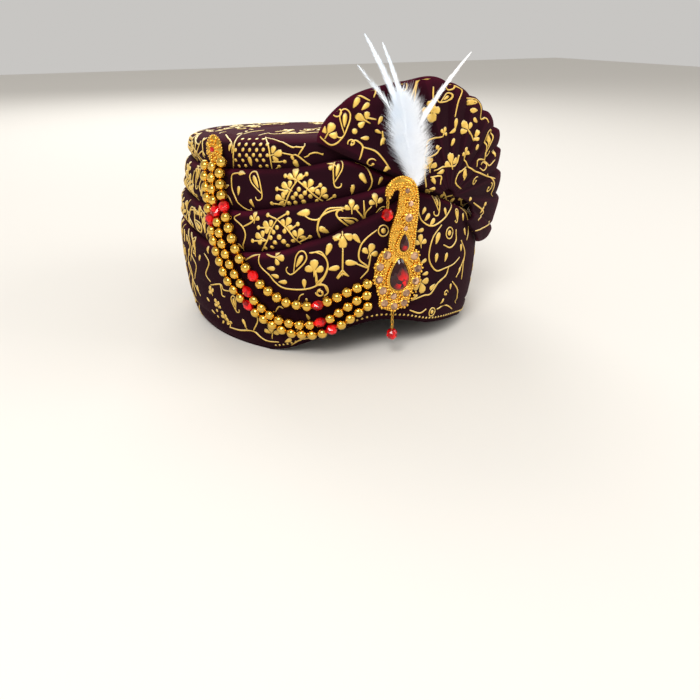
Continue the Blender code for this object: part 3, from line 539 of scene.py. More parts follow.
def widened(grid, across, down):
    """The greatest value of a grid near each of its places."""
    wide = grid.copy()
    for i in range(-across, across + 1):
        for j in range(-down, down + 1):
            wide = np.maximum(wide, np.roll(np.roll(grid, i, axis=0), j, axis=1))
    return wide


def grid_value(grid, degrees, height):
    """Value between the places of a grid of angles and heights."""
    i = np.clip(degrees - GRID_ANGLES[0], 0, len(GRID_ANGLES) - 1.001)
    j = np.clip(height / GRID_STEP, 0, len(GRID_HEIGHTS) - 1.001)
    i0, j0 = i.astype(int), j.astype(int)
    a, b = i - i0, j - j0
    return ((grid[i0, j0] * (1 - a) + grid[i0 + 1, j0] * a) * (1 - b)
            + (grid[i0, j0 + 1] * (1 - a) + grid[i0 + 1, j0 + 1] * a) * b)


cloth_reach = outermost_cloth()
fan_room = widened(cloth_reach, 2, 4)


def pleat_ridge(turn):
    """0 in a pleat's crease and 1 on its ridge, each pleat rising slowly and dropping sharply."""
    phase = FAN_PLEATS * (turn - FAN_RIM[0][0]) / (FAN_RIM[-1][0] - FAN_RIM[0][0]) % 1.0
    rise = np.sin(np.clip(phase / PLEAT_FOLD_SHARE, 0, 1) * math.pi / 2) ** 0.85
    fall = np.cos(np.clip((phase - PLEAT_FOLD_SHARE) / (1 - PLEAT_FOLD_SHARE), 0, 1) * math.pi / 2)
    return np.where(phase < PLEAT_FOLD_SHARE, rise, fall)


def fan_points(turn, share, offset=0.0):
    """Points on the fan at angles round its root and shares of its reach, set off its middle."""
    turn, share, offset = np.broadcast_arrays(np.asarray(turn, float), np.asarray(share, float), offset)
    start = curve(turn, FAN_RIM, 2)
    way = np.clip((share - start) / (1 - start), 0.0, 1.0)
    ridge = pleat_ridge(turn)
    reach = FAN_REACH * share * curve(turn, FAN_RIM, 1) * (1 + SCALLOP * (ridge - 0.7) * share ** 4)
    degrees = FAN_ROOT_ANGLE + np.degrees(reach * np.cos(np.radians(turn)) / BELLY_HALF_WIDTH)
    height = FAN_ROOT_HEIGHT + reach * np.sin(np.radians(turn))
    stand = FAN_SWING * curve(degrees, FAN_STAND, 1) * way ** 0.9 * np.clip((turn + 44) / 20, 0, 1)
    free = plan_radius(degrees) + stand - FAN_BACK_LEAN * np.maximum(height - BODY_HEIGHT, 0.0)
    radius = np.maximum(free, grid_value(fan_room, degrees, height) + FAN_CLOTH / 2 + FAN_SEAT)
    sway = 0.0007 * np.sin(9 * share + turn / 7) * share
    radius = radius + PLEAT_DEPTH * share * ridge + sway + offset
    spot = np.radians(degrees)
    return np.stack((radius * np.sin(spot), -radius * np.cos(spot), height), axis=-1) + AXIS


turn_count = FAN_PLEATS * 20 + 1
fan_turns = np.linspace(FAN_RIM[0][0], FAN_RIM[-1][0], turn_count)
fan_starts = curve(fan_turns, FAN_RIM, 2)
# Way from root to rim, offset as a share of half the cloth, and how close the row is to the rim
sections = [(way, 1.0, way ** 14) for way in np.linspace(0.0, RIM_START, 36)]
sections += [(RIM_START + (1 - RIM_START) * math.sin(tilt), math.cos(tilt), 1.0)
             for tilt in np.linspace(0, math.pi, 6)[1:-1]]
sections += [(way, -1.0, 0.0) for way in np.linspace(RIM_START, 0.0, 24)]
fan_rows = [fan_points(fan_turns, fan_starts + (1 - fan_starts) * way, FAN_CLOTH / 2 * offset)
            for way, offset, _ in sections]
fan_edges = [near_rim for _, _, near_rim in sections]
fan_faces = sheet_faces(len(fan_rows), turn_count, True, False)
first_side = [i * turn_count for i in range(len(fan_rows))]
last_side = [i * turn_count + turn_count - 1 for i in range(len(fan_rows))]
for side, turned in ((first_side, False), (last_side, True)):
    for i in range(len(fan_rows) // 2):
        a, b = side[i], side[i + 1]
        c, d = side[len(side) - 2 - i], side[len(side) - 1 - i]
        loop = [a, b, c, d] if len({a, b, c, d}) == 4 else [a, b, d]
        if len(set(loop)) > 2:
            fan_faces.append(loop[::-1] if turned else loop)
fan = mesh_piece("fan_velvet", np.stack(fan_rows), fan_faces, velvet)
# The fan's rim and pleat ridges get the painted red sheen, a painted highlight along their edges.
mark_painted_sheen(fan, np.array([np.full(turn_count, 0.5 * e) for e in fan_edges])
           + 0.12 * np.clip((pleat_ridge(fan_turns) - 0.93) / 0.07, 0, 1)[None, :])
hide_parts("fan")
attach(fan, "root")

# Foil print. Gold foil is pressed on the velvet in an all-over vine of paisleys, sprigs, buds and
# dots before it is wound. It is a raised skin a few tenths of a millimetre thick, paler where the
# top light falls on the crown. Places on the turns are an angle and millimetres below the fold,
# on the crown an angle and the way over its shoulder, and on the fan millimetres from its root.
FOIL_RISE = 0.36
FOIL_EDGE = -0.12
FOIL_UNDER = -0.3
STEM_HALF_WIDTH = 0.62
STEM_STEP = 1.3
TURN_RADIUS = 118.0
CROWN_RADIUS = TURN_RADIUS * 0.93
# Three rows of the low turn's print across the crown's top, each its shift right and up
TOP_ROWS = ((34.0, -118.0), (2.0, -42.0), (40.0, 30.0))
TOP_REACH = 98
# Line of dots along the rim: its first and last angle, step, height above the rim and dot size
RIM_DOTS = (-46.0, 60.0, 1.6, 3.2, 0.85)
# What each kind of motif's row holds after its place
#   stroke: none, its row is a list of places; drop: length, degrees; dot: radius; ringed: radius
#   sprig: size, degrees; curl: radius, degrees, hand; paisley: length, degrees, hand
# Where the same length of print comes round again, in degrees, and which part of it does
PRINT_REPEATS = {
    "crown": ((52, 104, 156, 208, 258, 308), (-66, -15)),
    "upper_wrap": ((62, 122, 180, 238, 298), (-66, -4)),
    "middle_wrap": ((62, 122, 180, 238, 298), (-66, -4)),
    "low_wrap": ((120, 240), (-68, 42)),
    "fan": ((), (0, 0)),
}
FOIL_PRINT = {
    "crown": {
        "stroke": (
            ((-64.2, 0.19), (-62, 0.51), (-62.2, 0.79), (-63.5, 0.93), (-66.2, 1.04)),
            ((-50.5, 0.98), (-46.5, 0.67), (-46.5, 0.08)), ((-45.8, 0.37), (-41, 0.37)),
            ((-46, 0.12), (-43.5, 0.24)),
            ((-41.5, 0.59), (-38.2, 0.53), (-36.2, 0.5), (-33.5, 0.31), (-30.5, 0.05), (-28.8, 0.02),
             (-27.5, 0.07)),
            ((-36, 0.51), (-34, 0.72)),
            ((-50.2, 0.97), (-45.8, 0.92), (-42.2, 0.86), (-38.2, 0.73), (-34, 0.72), (-33.8, 0.81)),
            ((-34, 0.45), (-30.2, 0.55), (-27.5, 0.46)), ((-75.5, 1.01), (-64.2, 0.83), (-62.5, 0.58)),
            ((-85.8, 0.89), (-82.5, 0.67), (-80.8, 0.4)), ((-99.5, 0.91), (-91, 0.67), (-93.2, 0.31)),
            ((-97.8, 1.14), (-71, 0.97), (-66, 0.64), (-65, 0.34)),
        ),
        "drop": (
            (-37, 0.28, 8, 110), (-54.8, 0.37, 8, 90), (-38, 0.44, 5, 110), (-64.2, 0.71, 6, 90),
            (-83.8, 0.86, 5, 90), (-47.2, 0.05, 6, 200),
        ),
        "dot": (
            (-41, 0.37, 1.52), (-43.5, 0.24, 1.52), (-60.2, 0.92, 1.46), (-56.8, 0.92, 1.46),
            (-53.5, 0.93, 1.46), (-50.5, 0.93, 1.46), (-59.8, 0.79, 1.46), (-56.5, 0.79, 1.46),
            (-53.2, 0.8, 1.46), (-50.2, 0.8, 1.46), (-47.5, 0.8, 1.46), (-61, 0.65, 1.46),
            (-57.5, 0.66, 1.46), (-54.5, 0.66, 1.46), (-51.5, 0.66, 1.46), (-48.8, 0.67, 1.46),
            (-59, 0.53, 1.46), (-55.8, 0.53, 1.46), (-52.8, 0.54, 1.46), (-50, 0.53, 1.46),
            (-47.2, 0.53, 1.46), (-61.5, 0.4, 1.46), (-58, 0.4, 1.46), (-51.8, 0.41, 1.46),
            (-49, 0.41, 1.46), (-60.8, 0.25, 1.46), (-57.5, 0.26, 1.46), (-51, 0.25, 1.46),
            (-48.2, 0.26, 1.46),
        ),
        "sprig": (
            (-43.8, 0.56, 11.1, 10),
        ),
    },
    "upper_wrap": {
        "stroke": (
            ((-56, 2.5), (-59.8, 2.3), (-62, 3.2), (-62.2, 6.6), (-61.5, 12.5), (-59.5, 18.1),
             (-57.5, 23.3), (-55, 25.8), (-51, 26.5), (-46, 26.2), (-42.5, 26.4)),
            ((-36, 7.4), (-38, 12.1), (-39.8, 18.8), (-42.5, 26.4)),
            ((-36, 7.4), (-32.8, 12.9), (-29.2, 20.3), (-25.8, 26.2)), ((-36, 7.4), (-40.2, 4.1)),
            ((-35.8, 7.5), (-33, 4.4)), ((-38.8, 13.4), (-43, 11.6)), ((-41, 21.9), (-45.2, 20.6)),
            ((-31.5, 14.6), (-28.5, 12.3)), ((-27.8, 24.2), (-24, 20.8)),
            ((-17, 0.3), (-13.8, 0.5), (-12.2, 5), (-12, 11.5), (-14.2, 20.2)),
            ((-80.5, 6.5), (-82.5, 13.5), (-79.2, 18.9)), ((-88.8, 4.4), (-89.8, 13.3), (-86.5, 21.2)),
            ((-74.2, 3.4), (-69, 10.1), (-62.5, 18.3), (-62, 22.6)),
        ),
        "drop": (
            (-57.8, 2.1, 7, 180), (-58.5, 13, 6.5, 90), (-52.8, 20.7, 6.5, 100), (-18.2, 17, 7, 90),
            (-14.8, 8.3, 8, 120), (-18.2, 16.9, 7, 90), (-9, 5.4, 6, 70), (-14.8, 8.4, 8, 130),
            (-64.5, 10.7, 6, 200),
        ),
        "dot": (
            (-40.2, 4.1, 1.52), (-33, 4.4, 1.52), (-43, 11.6, 1.52), (-45.2, 20.6, 1.52),
            (-28.5, 12.3, 1.52), (-24, 20.8, 1.52), (-35.5, 12.7, 1.65), (-36.5, 15.3, 1.65),
            (-33.5, 15.3, 1.65), (-37.5, 17.5, 1.65), (-34.8, 17.5, 1.91), (-31.8, 17.9, 1.65),
            (-39.2, 21, 1.65), (-37, 21, 1.65), (-34.2, 21.1, 1.91), (-29.8, 21.8, 1.52),
        ),
        "sprig": (
            (-54, 29.3, 9.4, -90), (-36.8, 3.6, 11.1, 90), (-39.8, 10.5, 9.4, 150),
            (-41.8, 17.5, 9.4, 160), (-32, 10.9, 9.4, 60), (-27.8, 16.9, 9.4, 60), (-25, 0.6, 8.2, 150),
        ),
        "paisley": (
            (-51, 8.4, 18, 125, 1), (-23, 6.6, 16, 75, -1),
        ),
    },
    "middle_wrap": {
        "stroke": (
            ((-42.8, 6.6), (-45, 12.9), (-46.5, 19.8), (-49.5, 26.4)),
            ((-42.8, 6.6), (-38.8, 14.5), (-35, 25.4)), ((-44.2, 11.6), (-49.5, 10.3)),
            ((-46.2, 18.9), (-51.8, 18.5)), ((-42.8, 6.6), (-39.2, 3.7)), ((-38.8, 14.5), (-35.8, 11.2)),
            ((-35.8, 23.2), (-32, 20.4)), ((-42.8, 6.6), (-46.2, 3.2)),
            ((-57.5, 1.4), (-59.8, 4.2), (-56, 9.5), (-54.8, 15.9), (-57.2, 25.9)),
            ((-56, 9.5), (-52.8, 7.2), (-51.2, 5.1)),
            ((-34, 6), (-31.8, 9.2), (-29.2, 9.9), (-27.5, 6.5), (-25.8, 4.3), (-21.2, 5.3)),
            ((-29, 9), (-29.5, 13.3), (-29.5, 17.7), (-28.8, 22.9)),
            ((-17.5, 8), (-14.8, 15.3), (-14, 18.2)), ((-15, 4), (-14.8, 10.9), (-14, 18.2)),
            ((-12.5, 8.6), (-14.2, 12.4), (-13.8, 18.1)),
            ((-20.8, 6.1), (-25.5, 6.1), (-28.5, 8.9), (-29.5, 15.6), (-28.8, 22.3)),
            ((-92, 0.9), (-93.8, 10.3), (-86.2, 16.3), (-88.5, 20.6)),
            ((-81.8, 1.5), (-75, 7.8), (-73.5, 15.9), (-80.2, 26)),
            ((-95, 6.1), (-94, 15.8), (-88.5, 18.7)),
        ),
        "drop": (
            (-57.5, 22.6, 6, 120), (-34, 5, 10, 10), (-27.5, 16.8, 8, 150), (-27.5, 17.3, 8, 150),
            (-85.2, 6.7, 7, 90), (-77.8, 10.7, 7, 70),
        ),
        "dot": (
            (-49.5, 10.3, 1.52), (-51.8, 18.5, 1.52), (-39.2, 3.7, 1.52), (-35.8, 11.2, 1.52),
            (-32, 20.4, 1.52), (-46.2, 3.2, 1.52), (-42.8, 11.5, 1.65), (-44, 14.1, 1.65),
            (-42, 17.6, 1.91), (-40.2, 14.4, 1.65), (-45, 17.3, 1.65), (-43.5, 20.7, 1.65),
            (-40.5, 20.8, 1.91), (-47.5, 24, 1.52), (-45, 23.9, 1.52), (-39.5, 24.1, 1.52),
            (-37.5, 21.3, 1.52),
        ),
        "sprig": (
            (-46.2, 9.7, 9.4, 150), (-49, 16.2, 9.4, 160), (-39.2, 9.6, 9.4, 60), (-35.2, 17.3, 9.4, 60),
            (-51.2, 3.3, 8.2, 90), (-18.8, 5.2, 9.4, 90), (-11.2, 5.2, 9.4, 100),
        ),
        "paisley": (
            (-19.8, 14.3, 17, -25, 1), (-9.2, 16.1, 13, 45, -1), (-19.8, 14.3, 16, -25, 1),
        ),
    },
    "low_wrap": {
        "stroke": (
            ((-49.5, 0.6), (-49.5, 5.8), (-48.5, 9.5), (-45.8, 14.4), (-43.8, 19.5), (-40.5, 24.4),
             (-33.5, 29.1), (-29, 27.3), (-26.5, 19.2), (-27.2, 11.9), (-29.8, 7.4), (-32.2, 6.4)),
            ((-54.8, 4.3), (-52.2, 1.7), (-49.5, 0.6)), ((-47, 0.6), (-44.5, 2.6), (-42.5, 3.4)),
            ((-30.2, 18.5), (-30.2, 26.7)), ((-29, 27.6), (-27, 30.3), (-26.5, 34.8), (-27.8, 36.6)),
            ((-21.8, 10.6), (-22, 27.9)), ((-22, 26.3), (-23.5, 28.3)), ((-22, 26.3), (-20, 30)),
            ((-67.5, 58.2), (-62, 57.4), (-55.2, 56.1), (-49.8, 61.8), (-44.5, 62.8)),
            ((-58.5, 50.7), (-58.2, 56.6)), ((-55.2, 55.9), (-52.2, 47.8), (-52, 42.6)),
            ((-44.5, 39.9), (-43, 36.3), (-41.5, 38.1)), ((-40.2, 66.8), (-35.5, 63.4), (-31.5, 66.4)),
            ((-75.2, 30.1), (-68.2, 25.6), (-67, 29), (-63.5, 28.3)),
            ((-68.2, 26.1), (-68.2, 33.3), (-66.5, 34)),
            ((-84.2, 2.9), (-89, 15.5), (-85.2, 22.3), (-90.2, 36.2)),
            ((-77, 7.8), (-73.8, 12.9), (-77.2, 23), (-74.5, 27.2)),
            ((-96.8, 28.7), (-92.5, 38), (-85.8, 46.1)), ((-93.8, 4.8), (-91, 12.3), (-95.8, 25.6)),
            ((-65.8, 2.8), (-63.8, 11.3), (-65, 17.6)),
            ((-31.8, 6.9), (-28.5, 7.6), (-26.5, 15.7), (-27.5, 22.8), (-30.2, 27.8), (-27.8, 29.3),
             (-26.8, 33.8)),
            ((-30.2, 19.3), (-29.8, 26.4)),
            ((-11, 8.8), (-14.5, 11.1), (-16.5, 14.9), (-16.8, 22.1), (-14, 30.1), (-16.5, 34.8)),
            ((-13.2, 22.1), (-14, 30.1)), ((-17.8, 23.9), (-14, 30.1)), ((-21.8, 12.2), (-22, 25.2)),
            ((-22, 24.1), (-23.8, 27.5)), ((-22, 24.1), (-20.2, 30)),
            ((3.5, 12.2), (4.8, 18), (8.8, 20.4), (14.2, 14), (17.8, 7.1), (20.2, 0.7)),
            ((13.2, 18), (9.5, 26.6), (7.5, 35.6), (7.5, 43.7), (10.8, 49.4), (15.2, 46.6),
             (19.8, 42.5), (23.5, 36.5)),
            ((13.8, 31), (17.5, 31.6), (20.8, 25.5), (21, 18.1)),
            ((17.2, 45.1), (16, 51.1), (12, 57.9), (8.8, 63.8)),
            ((1, 69.1), (6, 67.4), (9, 66), (12.5, 56.7), (15.8, 52.2)),
            ((0.8, 75.7), (5, 80.1), (7.8, 77.2)), ((13.2, 76.8), (18.2, 73.2), (23.2, 75.4)),
            ((26, 0.7), (29.5, 4.4), (31.2, 13.8), (28.8, 23)), ((29.8, 0.7), (34.5, 5), (35.5, 15)),
            ((24.2, 24.3), (27.5, 32.5), (25.8, 41.9), (22.5, 51.5)),
            ((20.2, 55), (25.2, 60.8), (26.2, 70.8)), ((27.5, 32.5), (27.2, 43.1), (27.2, 52.2)),
        ),
        "drop": (
            (-45.2, 10.1, 7, 5), (-43.8, 15.2, 6.5, -10), (-41.2, 19.9, 7, 5), (-24.8, 20.4, 7.5, 10),
            (-26.2, 7.3, 8, 60), (-34, 25.2, 7, 90), (-23.5, 2.7, 6, 150), (-58.5, 50.1, 7, 110),
            (-40.8, 62.1, 7, 30), (-37, 56.8, 6, 60), (-33.2, 48.4, 5, -60), (-78.8, 43.5, 5, 150),
            (-76.8, 52, 5, 150), (-80.8, 13.3, 6, 60), (-87.5, 41.4, 6, 120), (-74, 4, 6, 100),
            (-26.2, 7.3, 9, 70), (-24.5, 20.2, 7.5, 5), (-17.5, 8.8, 8, 130), (-19.2, 22.2, 9, 175),
            (4, 24, 6, 10), (5.8, 11.6, 6, 50), (7, 15.3, 7, 40), (9, 17.9, 7, 40), (15.5, 8.6, 6, 95),
            (11.2, 27.6, 9, 60), (10.5, 40.7, 7, 80), (15.2, 39, 7, 70), (5, 44, 6, 25), (6, 52.2, 6, 5),
            (9.5, 60.8, 6, -150), (15.8, 70.8, 5, 60), (2.5, 67.7, 5, 30), (26.5, 7.5, 6, 80),
            (27.5, 17.3, 6, 100), (24.2, 29.5, 6, 90), (24.5, 45.9, 6, 60), (19.5, 59, 5, 90),
        ),
        "dot": (
            (-73.5, 48.6, 1.4), (-70.8, 44.2, 1.4), (-71.8, 56.8, 1.4), (-74.5, 54.4, 1.4),
        ),
        "sprig": (
            (-42.2, 3.7, 9.9, 0), (-30.5, 15.7, 11.1, 90), (-21.8, 5.2, 11.7, -90), (-47, 53.6, 11.7, 90),
            (-75.5, 33.9, 8.2, 120), (-72.8, 42, 8.2, 120), (-69.8, 49.8, 8.2, 110), (-67.8, 54, 8.2, 110),
            (-30.8, 16, 11.7, 90), (-21.8, 5.7, 12.9, -90), (-13.2, 19.3, 10.5, 70), (4, 30.1, 9.4, 90),
            (4.8, 60.9, 12.9, -70),
        ),
        "paisley": (
            (-35.8, 10.1, 18, 60, 1), (-61.8, 36.5, 12, 100, -1), (-85.2, 6.7, 12, 90, 1),
            (12, 3.6, 16, 90, 1), (22, 8, 9, 85, 1),
        ),
        "ringed": (
            (-9, 11.3, 3.4), (17.2, 22, 3.8), (10.8, 79.2, 3),
        ),
        "curl": (
            (-29, 33.6, 3, 180, 1), (-34.2, 36.4, 4.5, 90, 1), (-28.8, 34.1, 2.8, 90, 1),
            (17, 64.4, 2.5, 0, 1),
        ),
    },
    "fan": {
        "stroke": (
            ((-87.4, 44.5), (-84, 41), (-79.8, 38.1), (-75.7, 39.4), (-71.9, 43.2)),
            ((-67.5, 39.8), (-64.6, 41.1), (-60.7, 37.9), (-61.2, 33.9), (-62.5, 29.2)),
            ((-60.6, 37.1), (-53, 34.4), (-48, 28.9), (-44.2, 23)),
            ((-64.8, 67.1), (-61.1, 66.7), (-55.7, 64)), ((-58.2, 54.3), (-52.2, 53.1)),
            ((-48.6, 46.2), (-47.4, 38.4)), ((-56.3, 70.8), (-51.8, 70), (-53.3, 65.8)),
            ((-21.9, 76.2), (-24.4, 70.9), (-29, 63.5)), ((-37.9, 69.7), (-36.8, 66.3), (-30.3, 62.1)),
            ((-20.5, 76.4), (-23.5, 70.1), (-26.2, 61.6)),
            ((3.1, 70.4), (8.9, 67.2), (5.8, 60.3), (3.6, 51.4)), ((-12.5, 70.6), (-13.4, 63.3)),
            ((14.4, 62.4), (21.1, 61.3), (29.2, 55), (31.4, 47.5), (33.2, 48.4), (36.3, 44.8)),
            ((15.8, 42.3), (23.1, 34.3)), ((-22.3, 22.7), (-19.8, 31.7), (-18, 38.6), (-7.1, 40.2)),
            ((-18.7, 28.2), (-11.1, 30.6), (-8.4, 33.6)),
            ((-13.9, 19.4), (-5.3, 21.1), (5, 20.7), (8.2, 26.9)), ((-20.9, 20.5), (-19.8, 9.5)),
            ((-16.8, 15.7), (-8.5, 15.3), (-9.1, 10)),
            ((12.1, 27.9), (15.4, 21.6), (20.5, 16.6), (32.5, 11.2), (54.7, 3.3)),
            ((16.4, 17.9), (8.5, 14.2), (5.9, 8.5), (12.1, 3.9)), ((28.5, 16.1), (29.2, 20.8), (40.7, 19)),
            ((37.7, 24.5), (42.9, 14.8), (52.3, 17)), ((44.7, 8.3), (57, -1.5), (60.4, -11.2)),
            ((30.2, -9.5), (49.5, -20.5), (39.9, -24.4)), ((35.2, -31.2), (51.5, -32.8), (71.1, -33.1)),
        ),
        "drop": (
            (-64, 62.9, 8, 60), (-58.6, 60.7, 7, 40), (-49.8, 52.5, 6, 60), (-50.9, 45.8, 5, 150),
            (-48.3, 39.8, 6, 60), (-46.7, 22.8, 6, 60), (-59.2, 42.3, 6, 0), (-32.2, 64.6, 6, 90),
            (-17.6, 76.2, 8, 5), (19.3, 59.5, 9, 170), (21.3, 54, 8, 175), (23.6, 47.4, 7, 150),
            (25.7, 38.8, 6, 60), (24.2, 35.3, 6, 0), (4.9, 47, 8, 80), (2.6, 42.7, 6, 30),
            (-8.4, 18, 7, 10), (-14.2, 13, 6, 120), (-15.1, 8, 5, 0), (2.2, 35.8, 6, 60),
            (15.3, 12.8, 9, 80), (52.1, 21.6, 6, 90), (46.7, -18.4, 6, 60),
        ),
        "dot": (
            (-65.1, 46.4, 1.91), (-14.5, 52.1, 3.05), (26.3, 29.7, 2.29), (-10.7, 33.8, 1.65),
            (48.4, -14.3, 1.91), (24.4, -5.6, 1.65),
        ),
        "sprig": (
            (-80, 47.1, 11.7, 60), (-60.7, 53.7, 10.5, 150), (-14.5, 58.3, 11.7, 90), (-11.9, 55.9, 7, 0),
            (14.5, 44.5, 10.5, 120), (-4.9, 43.4, 7, 60), (-17.3, 24.3, 10.5, 90), (0.4, 24.6, 11.7, 100),
            (14.6, 28.1, 8.2, 90),
        ),
        "paisley": (
            (-71.3, 51.8, 17, 85, 1), (-3.3, 63.4, 12, 20, 1), (40.3, 31.5, 18, 85, -1),
        ),
        "curl": (
            (-75.3, 57.8, 3.4, 200, 1), (-67, 39.5, 2.5, 200, -1), (-55.6, 27.1, 3.2, 30, 1),
            (-33.7, 72.3, 4, 200, 1), (1.2, 70.8, 3.4, 150, 1), (37.4, 15.9, 4.2, 200, 1),
            (29.1, 5.9, 3.4, 60, 1), (50.8, -3.1, 4, 90, -1),
        ),
    },
}

CROWN_WAYS = np.linspace(0.0, 1.6, 161)
crown_profiles = crown_points(np.arange(0.0, 360.0, 5.0)[:, None], CROWN_WAYS[None, :])
steps = np.diff(crown_profiles, axis=1, prepend=crown_profiles[:, :1])
crown_lengths = np.cumsum(np.linalg.norm(steps, axis=2), axis=1) / MM


def crown_length(degrees):
    """Millimetres of cloth from the upper fold to each way over the crown, at an angle."""
    return crown_lengths[int(round(degrees / 5.0)) % len(crown_lengths)]


def flat_place(surface, a, b):
    """Millimetres right and up on the flat cloth, to measure lengths and directions."""
    if surface in ("fan", "crown_top"):
        return np.stack((a, b), axis=-1)
    if surface == "crown":
        up = np.array([np.interp(way, CROWN_WAYS, crown_length(angle))
                       for angle, way in zip(np.ravel(a), np.ravel(b))])
        return np.stack((np.radians(a) * CROWN_RADIUS, up), axis=-1)
    return np.stack((np.radians(a) * TURN_RADIUS, fold_height(surface, a) / MM - b), axis=-1)


def cloth_place(surface, a, b, right, up, lift):
    """Points on the cloth, millimetres right and up of an anchor, lifted off it."""
    values = (np.asarray(value, float) for value in (a, b, right, up, lift))
    a, b, right, up, lift = np.broadcast_arrays(*values)
    if surface == "fan":
        x, y = a + right, b + up
        turn = np.degrees(np.arctan2(y, x))
        turn = np.where(turn < FAN_RIM[0][0] - 20, turn + 360, turn)
        turn = np.clip(turn, FAN_RIM[0][0] + 0.5, FAN_RIM[-1][0] - 0.5)
        share = np.hypot(x, y) * MM / (FAN_REACH * curve(turn, FAN_RIM, 1))
        share = np.clip(share, curve(turn, FAN_RIM, 2) + 0.005, 0.982)
        return fan_points(turn, share, FAN_CLOTH / 2 + lift * MM)
    if surface == "crown":
        degrees = a + np.degrees(right / CROWN_RADIUS)
        way = []
        for here, start, rise, angle in zip(a.ravel(), b.ravel(), up.ravel(), degrees.ravel()):
            along = np.interp(start, CROWN_WAYS, crown_length(here)) + rise
            way.append(np.interp(along, crown_length(angle), CROWN_WAYS))
        return crown_points(degrees, np.array(way).reshape(a.shape), lift * MM)
    if surface == "crown_top":
        x, y = a + right, b + up
        degrees = np.degrees(np.arctan2(x, -y))
        edge = body_radius(degrees, BODY_HEIGHT + 0 * x) - crown_face(degrees, BODY_HEIGHT + 0 * x)
        way = np.clip(2.0 - np.hypot(x, y) * MM / edge, 1.02, 1.97)
        return crown_points(degrees, way, lift * MM)
    degrees = a + np.degrees(right / TURN_RADIUS)
    height = fold_height(surface, a) - b * MM + up * MM
    height = np.minimum(height, fold_height(surface, degrees) - 0.0007)
    height = np.maximum(height, rim_height(degrees) + 0.0004)
    return face_points(surface, degrees, height, lift * MM)


def smooth_line(points, step):
    """Points every step or so along a soft curve through a few chosen ones."""
    points = np.asarray(points, float)
    padded = np.vstack((2 * points[0] - points[1], points, 2 * points[-1] - points[-2]))
    line = []
    for p0, p1, p2, p3 in zip(padded, padded[1:], padded[2:], padded[3:]):
        count = max(int(math.ceil(np.linalg.norm(p2 - p1) / step)), 1)
        t = np.arange(count)[:, None] / count
        line.append(0.5 * (2 * p1 + (p2 - p0) * t + (2 * p0 - 5 * p1 + 4 * p2 - p3) * t * t
                           + (3 * p1 - p0 - 3 * p2 + p3) * t ** 3))
    return np.vstack(line + [points[-1:]])


def add_stem(foil, surface, a, b, line, half):
    """A raised line of foil, thinner at its ends. line holds millimetres from the anchor."""
    way = np.gradient(line, axis=0)
    way /= np.maximum(np.linalg.norm(way, axis=1, keepdims=True), 1e-6)
    across = np.stack((-way[:, 1], way[:, 0]), axis=1)
    taper = half * (0.55 + 0.45 * np.sin(np.linspace(0.12, math.pi - 0.12, len(line)))) ** 0.7
    section = ((1.0, FOIL_EDGE), (0.62, FOIL_RISE * 0.75), (-0.62, FOIL_RISE * 0.75), (-1.0, FOIL_EDGE),
               (0, FOIL_UNDER))
    base = sum(len(p) for p in foil[0])
    rows = []
    for side, lift in section:
        row = line + across * taper[:, None] * side
        rows.append(cloth_place(surface, a, b, row[:, 0], row[:, 1], lift))
    count, sides = len(line), len(section)
    foil[0].append(np.stack(rows, axis=1).reshape(-1, 3))
    for i in range(count - 1):
        for k in range(sides):
            p, q = base + i * sides, base + (i + 1) * sides
            foil[1].append((p + k, p + (k + 1) % sides, q + (k + 1) % sides, q + k))
    foil[1].append([base + k for k in range(sides)][::-1])
    foil[1].append([base + (count - 1) * sides + k for k in range(sides)])


def add_pad(foil, surface, a, b, outline):
    """A raised spot of foil inside an outline that runs counter-clockwise."""
    centre = outline.mean(axis=0)
    base = sum(len(p) for p in foil[0])
    count = len(outline)
    rings = []
    for share, lift in ((1.0, FOIL_EDGE), (0.70, FOIL_RISE * 0.85)):
        ring = centre + (outline - centre) * share
        rings.append(cloth_place(surface, a, b, ring[:, 0], ring[:, 1], lift))
    middle = cloth_place(surface, a, b, centre[0], centre[1], (FOIL_RISE * 1.1, FOIL_UNDER))
    foil[0].append(np.vstack(rings + [middle]))
    for k in range(count):
        n = (k + 1) % count
        foil[1].append((base + k, base + n, base + count + n, base + count + k))
        foil[1].append((base + count + k, base + count + n, base + 2 * count))
        foil[1].append((base + n, base + k, base + 2 * count + 1))


def turned(points, degrees):
    """Flat points turned counter-clockwise."""
    c, s = math.cos(math.radians(degrees)), math.sin(math.radians(degrees))
    return np.asarray(points, float) @ np.array(((c, s), (-s, c)))


def drop_shape(length, width, degrees, at=(0.0, 0.0), count=12):
    """Outline of a drop from its tip at a place."""
    t = np.arange(count) * 2 * math.pi / count
    half = width / 2 * (1 + 0.5 * np.cos(t)) / 1.15
    shape = np.stack((length / 2 * np.cos(t), half * np.sin(t)), axis=1)
    return turned(shape + np.array((length / 2, 0.0)), degrees) + np.asarray(at)


def circle(count):
    """Points round a circle of radius 1."""
    t = np.arange(count) * 2 * math.pi / count
    return np.stack((np.cos(t), np.sin(t)), axis=1)


PAISLEY_LINE = (
    (-0.36, 0.25), (-0.45, 0.27), (-0.54, 0.19), (-0.55, 0.05), (-0.44, -0.04), (-0.2, -0.12), (0.10, -0.20),
    (0.33, -0.18), (0.45, -0.02), (0.38, 0.13), (0.16, 0.17), (-0.10, 0.09), (-0.40, -0.03))


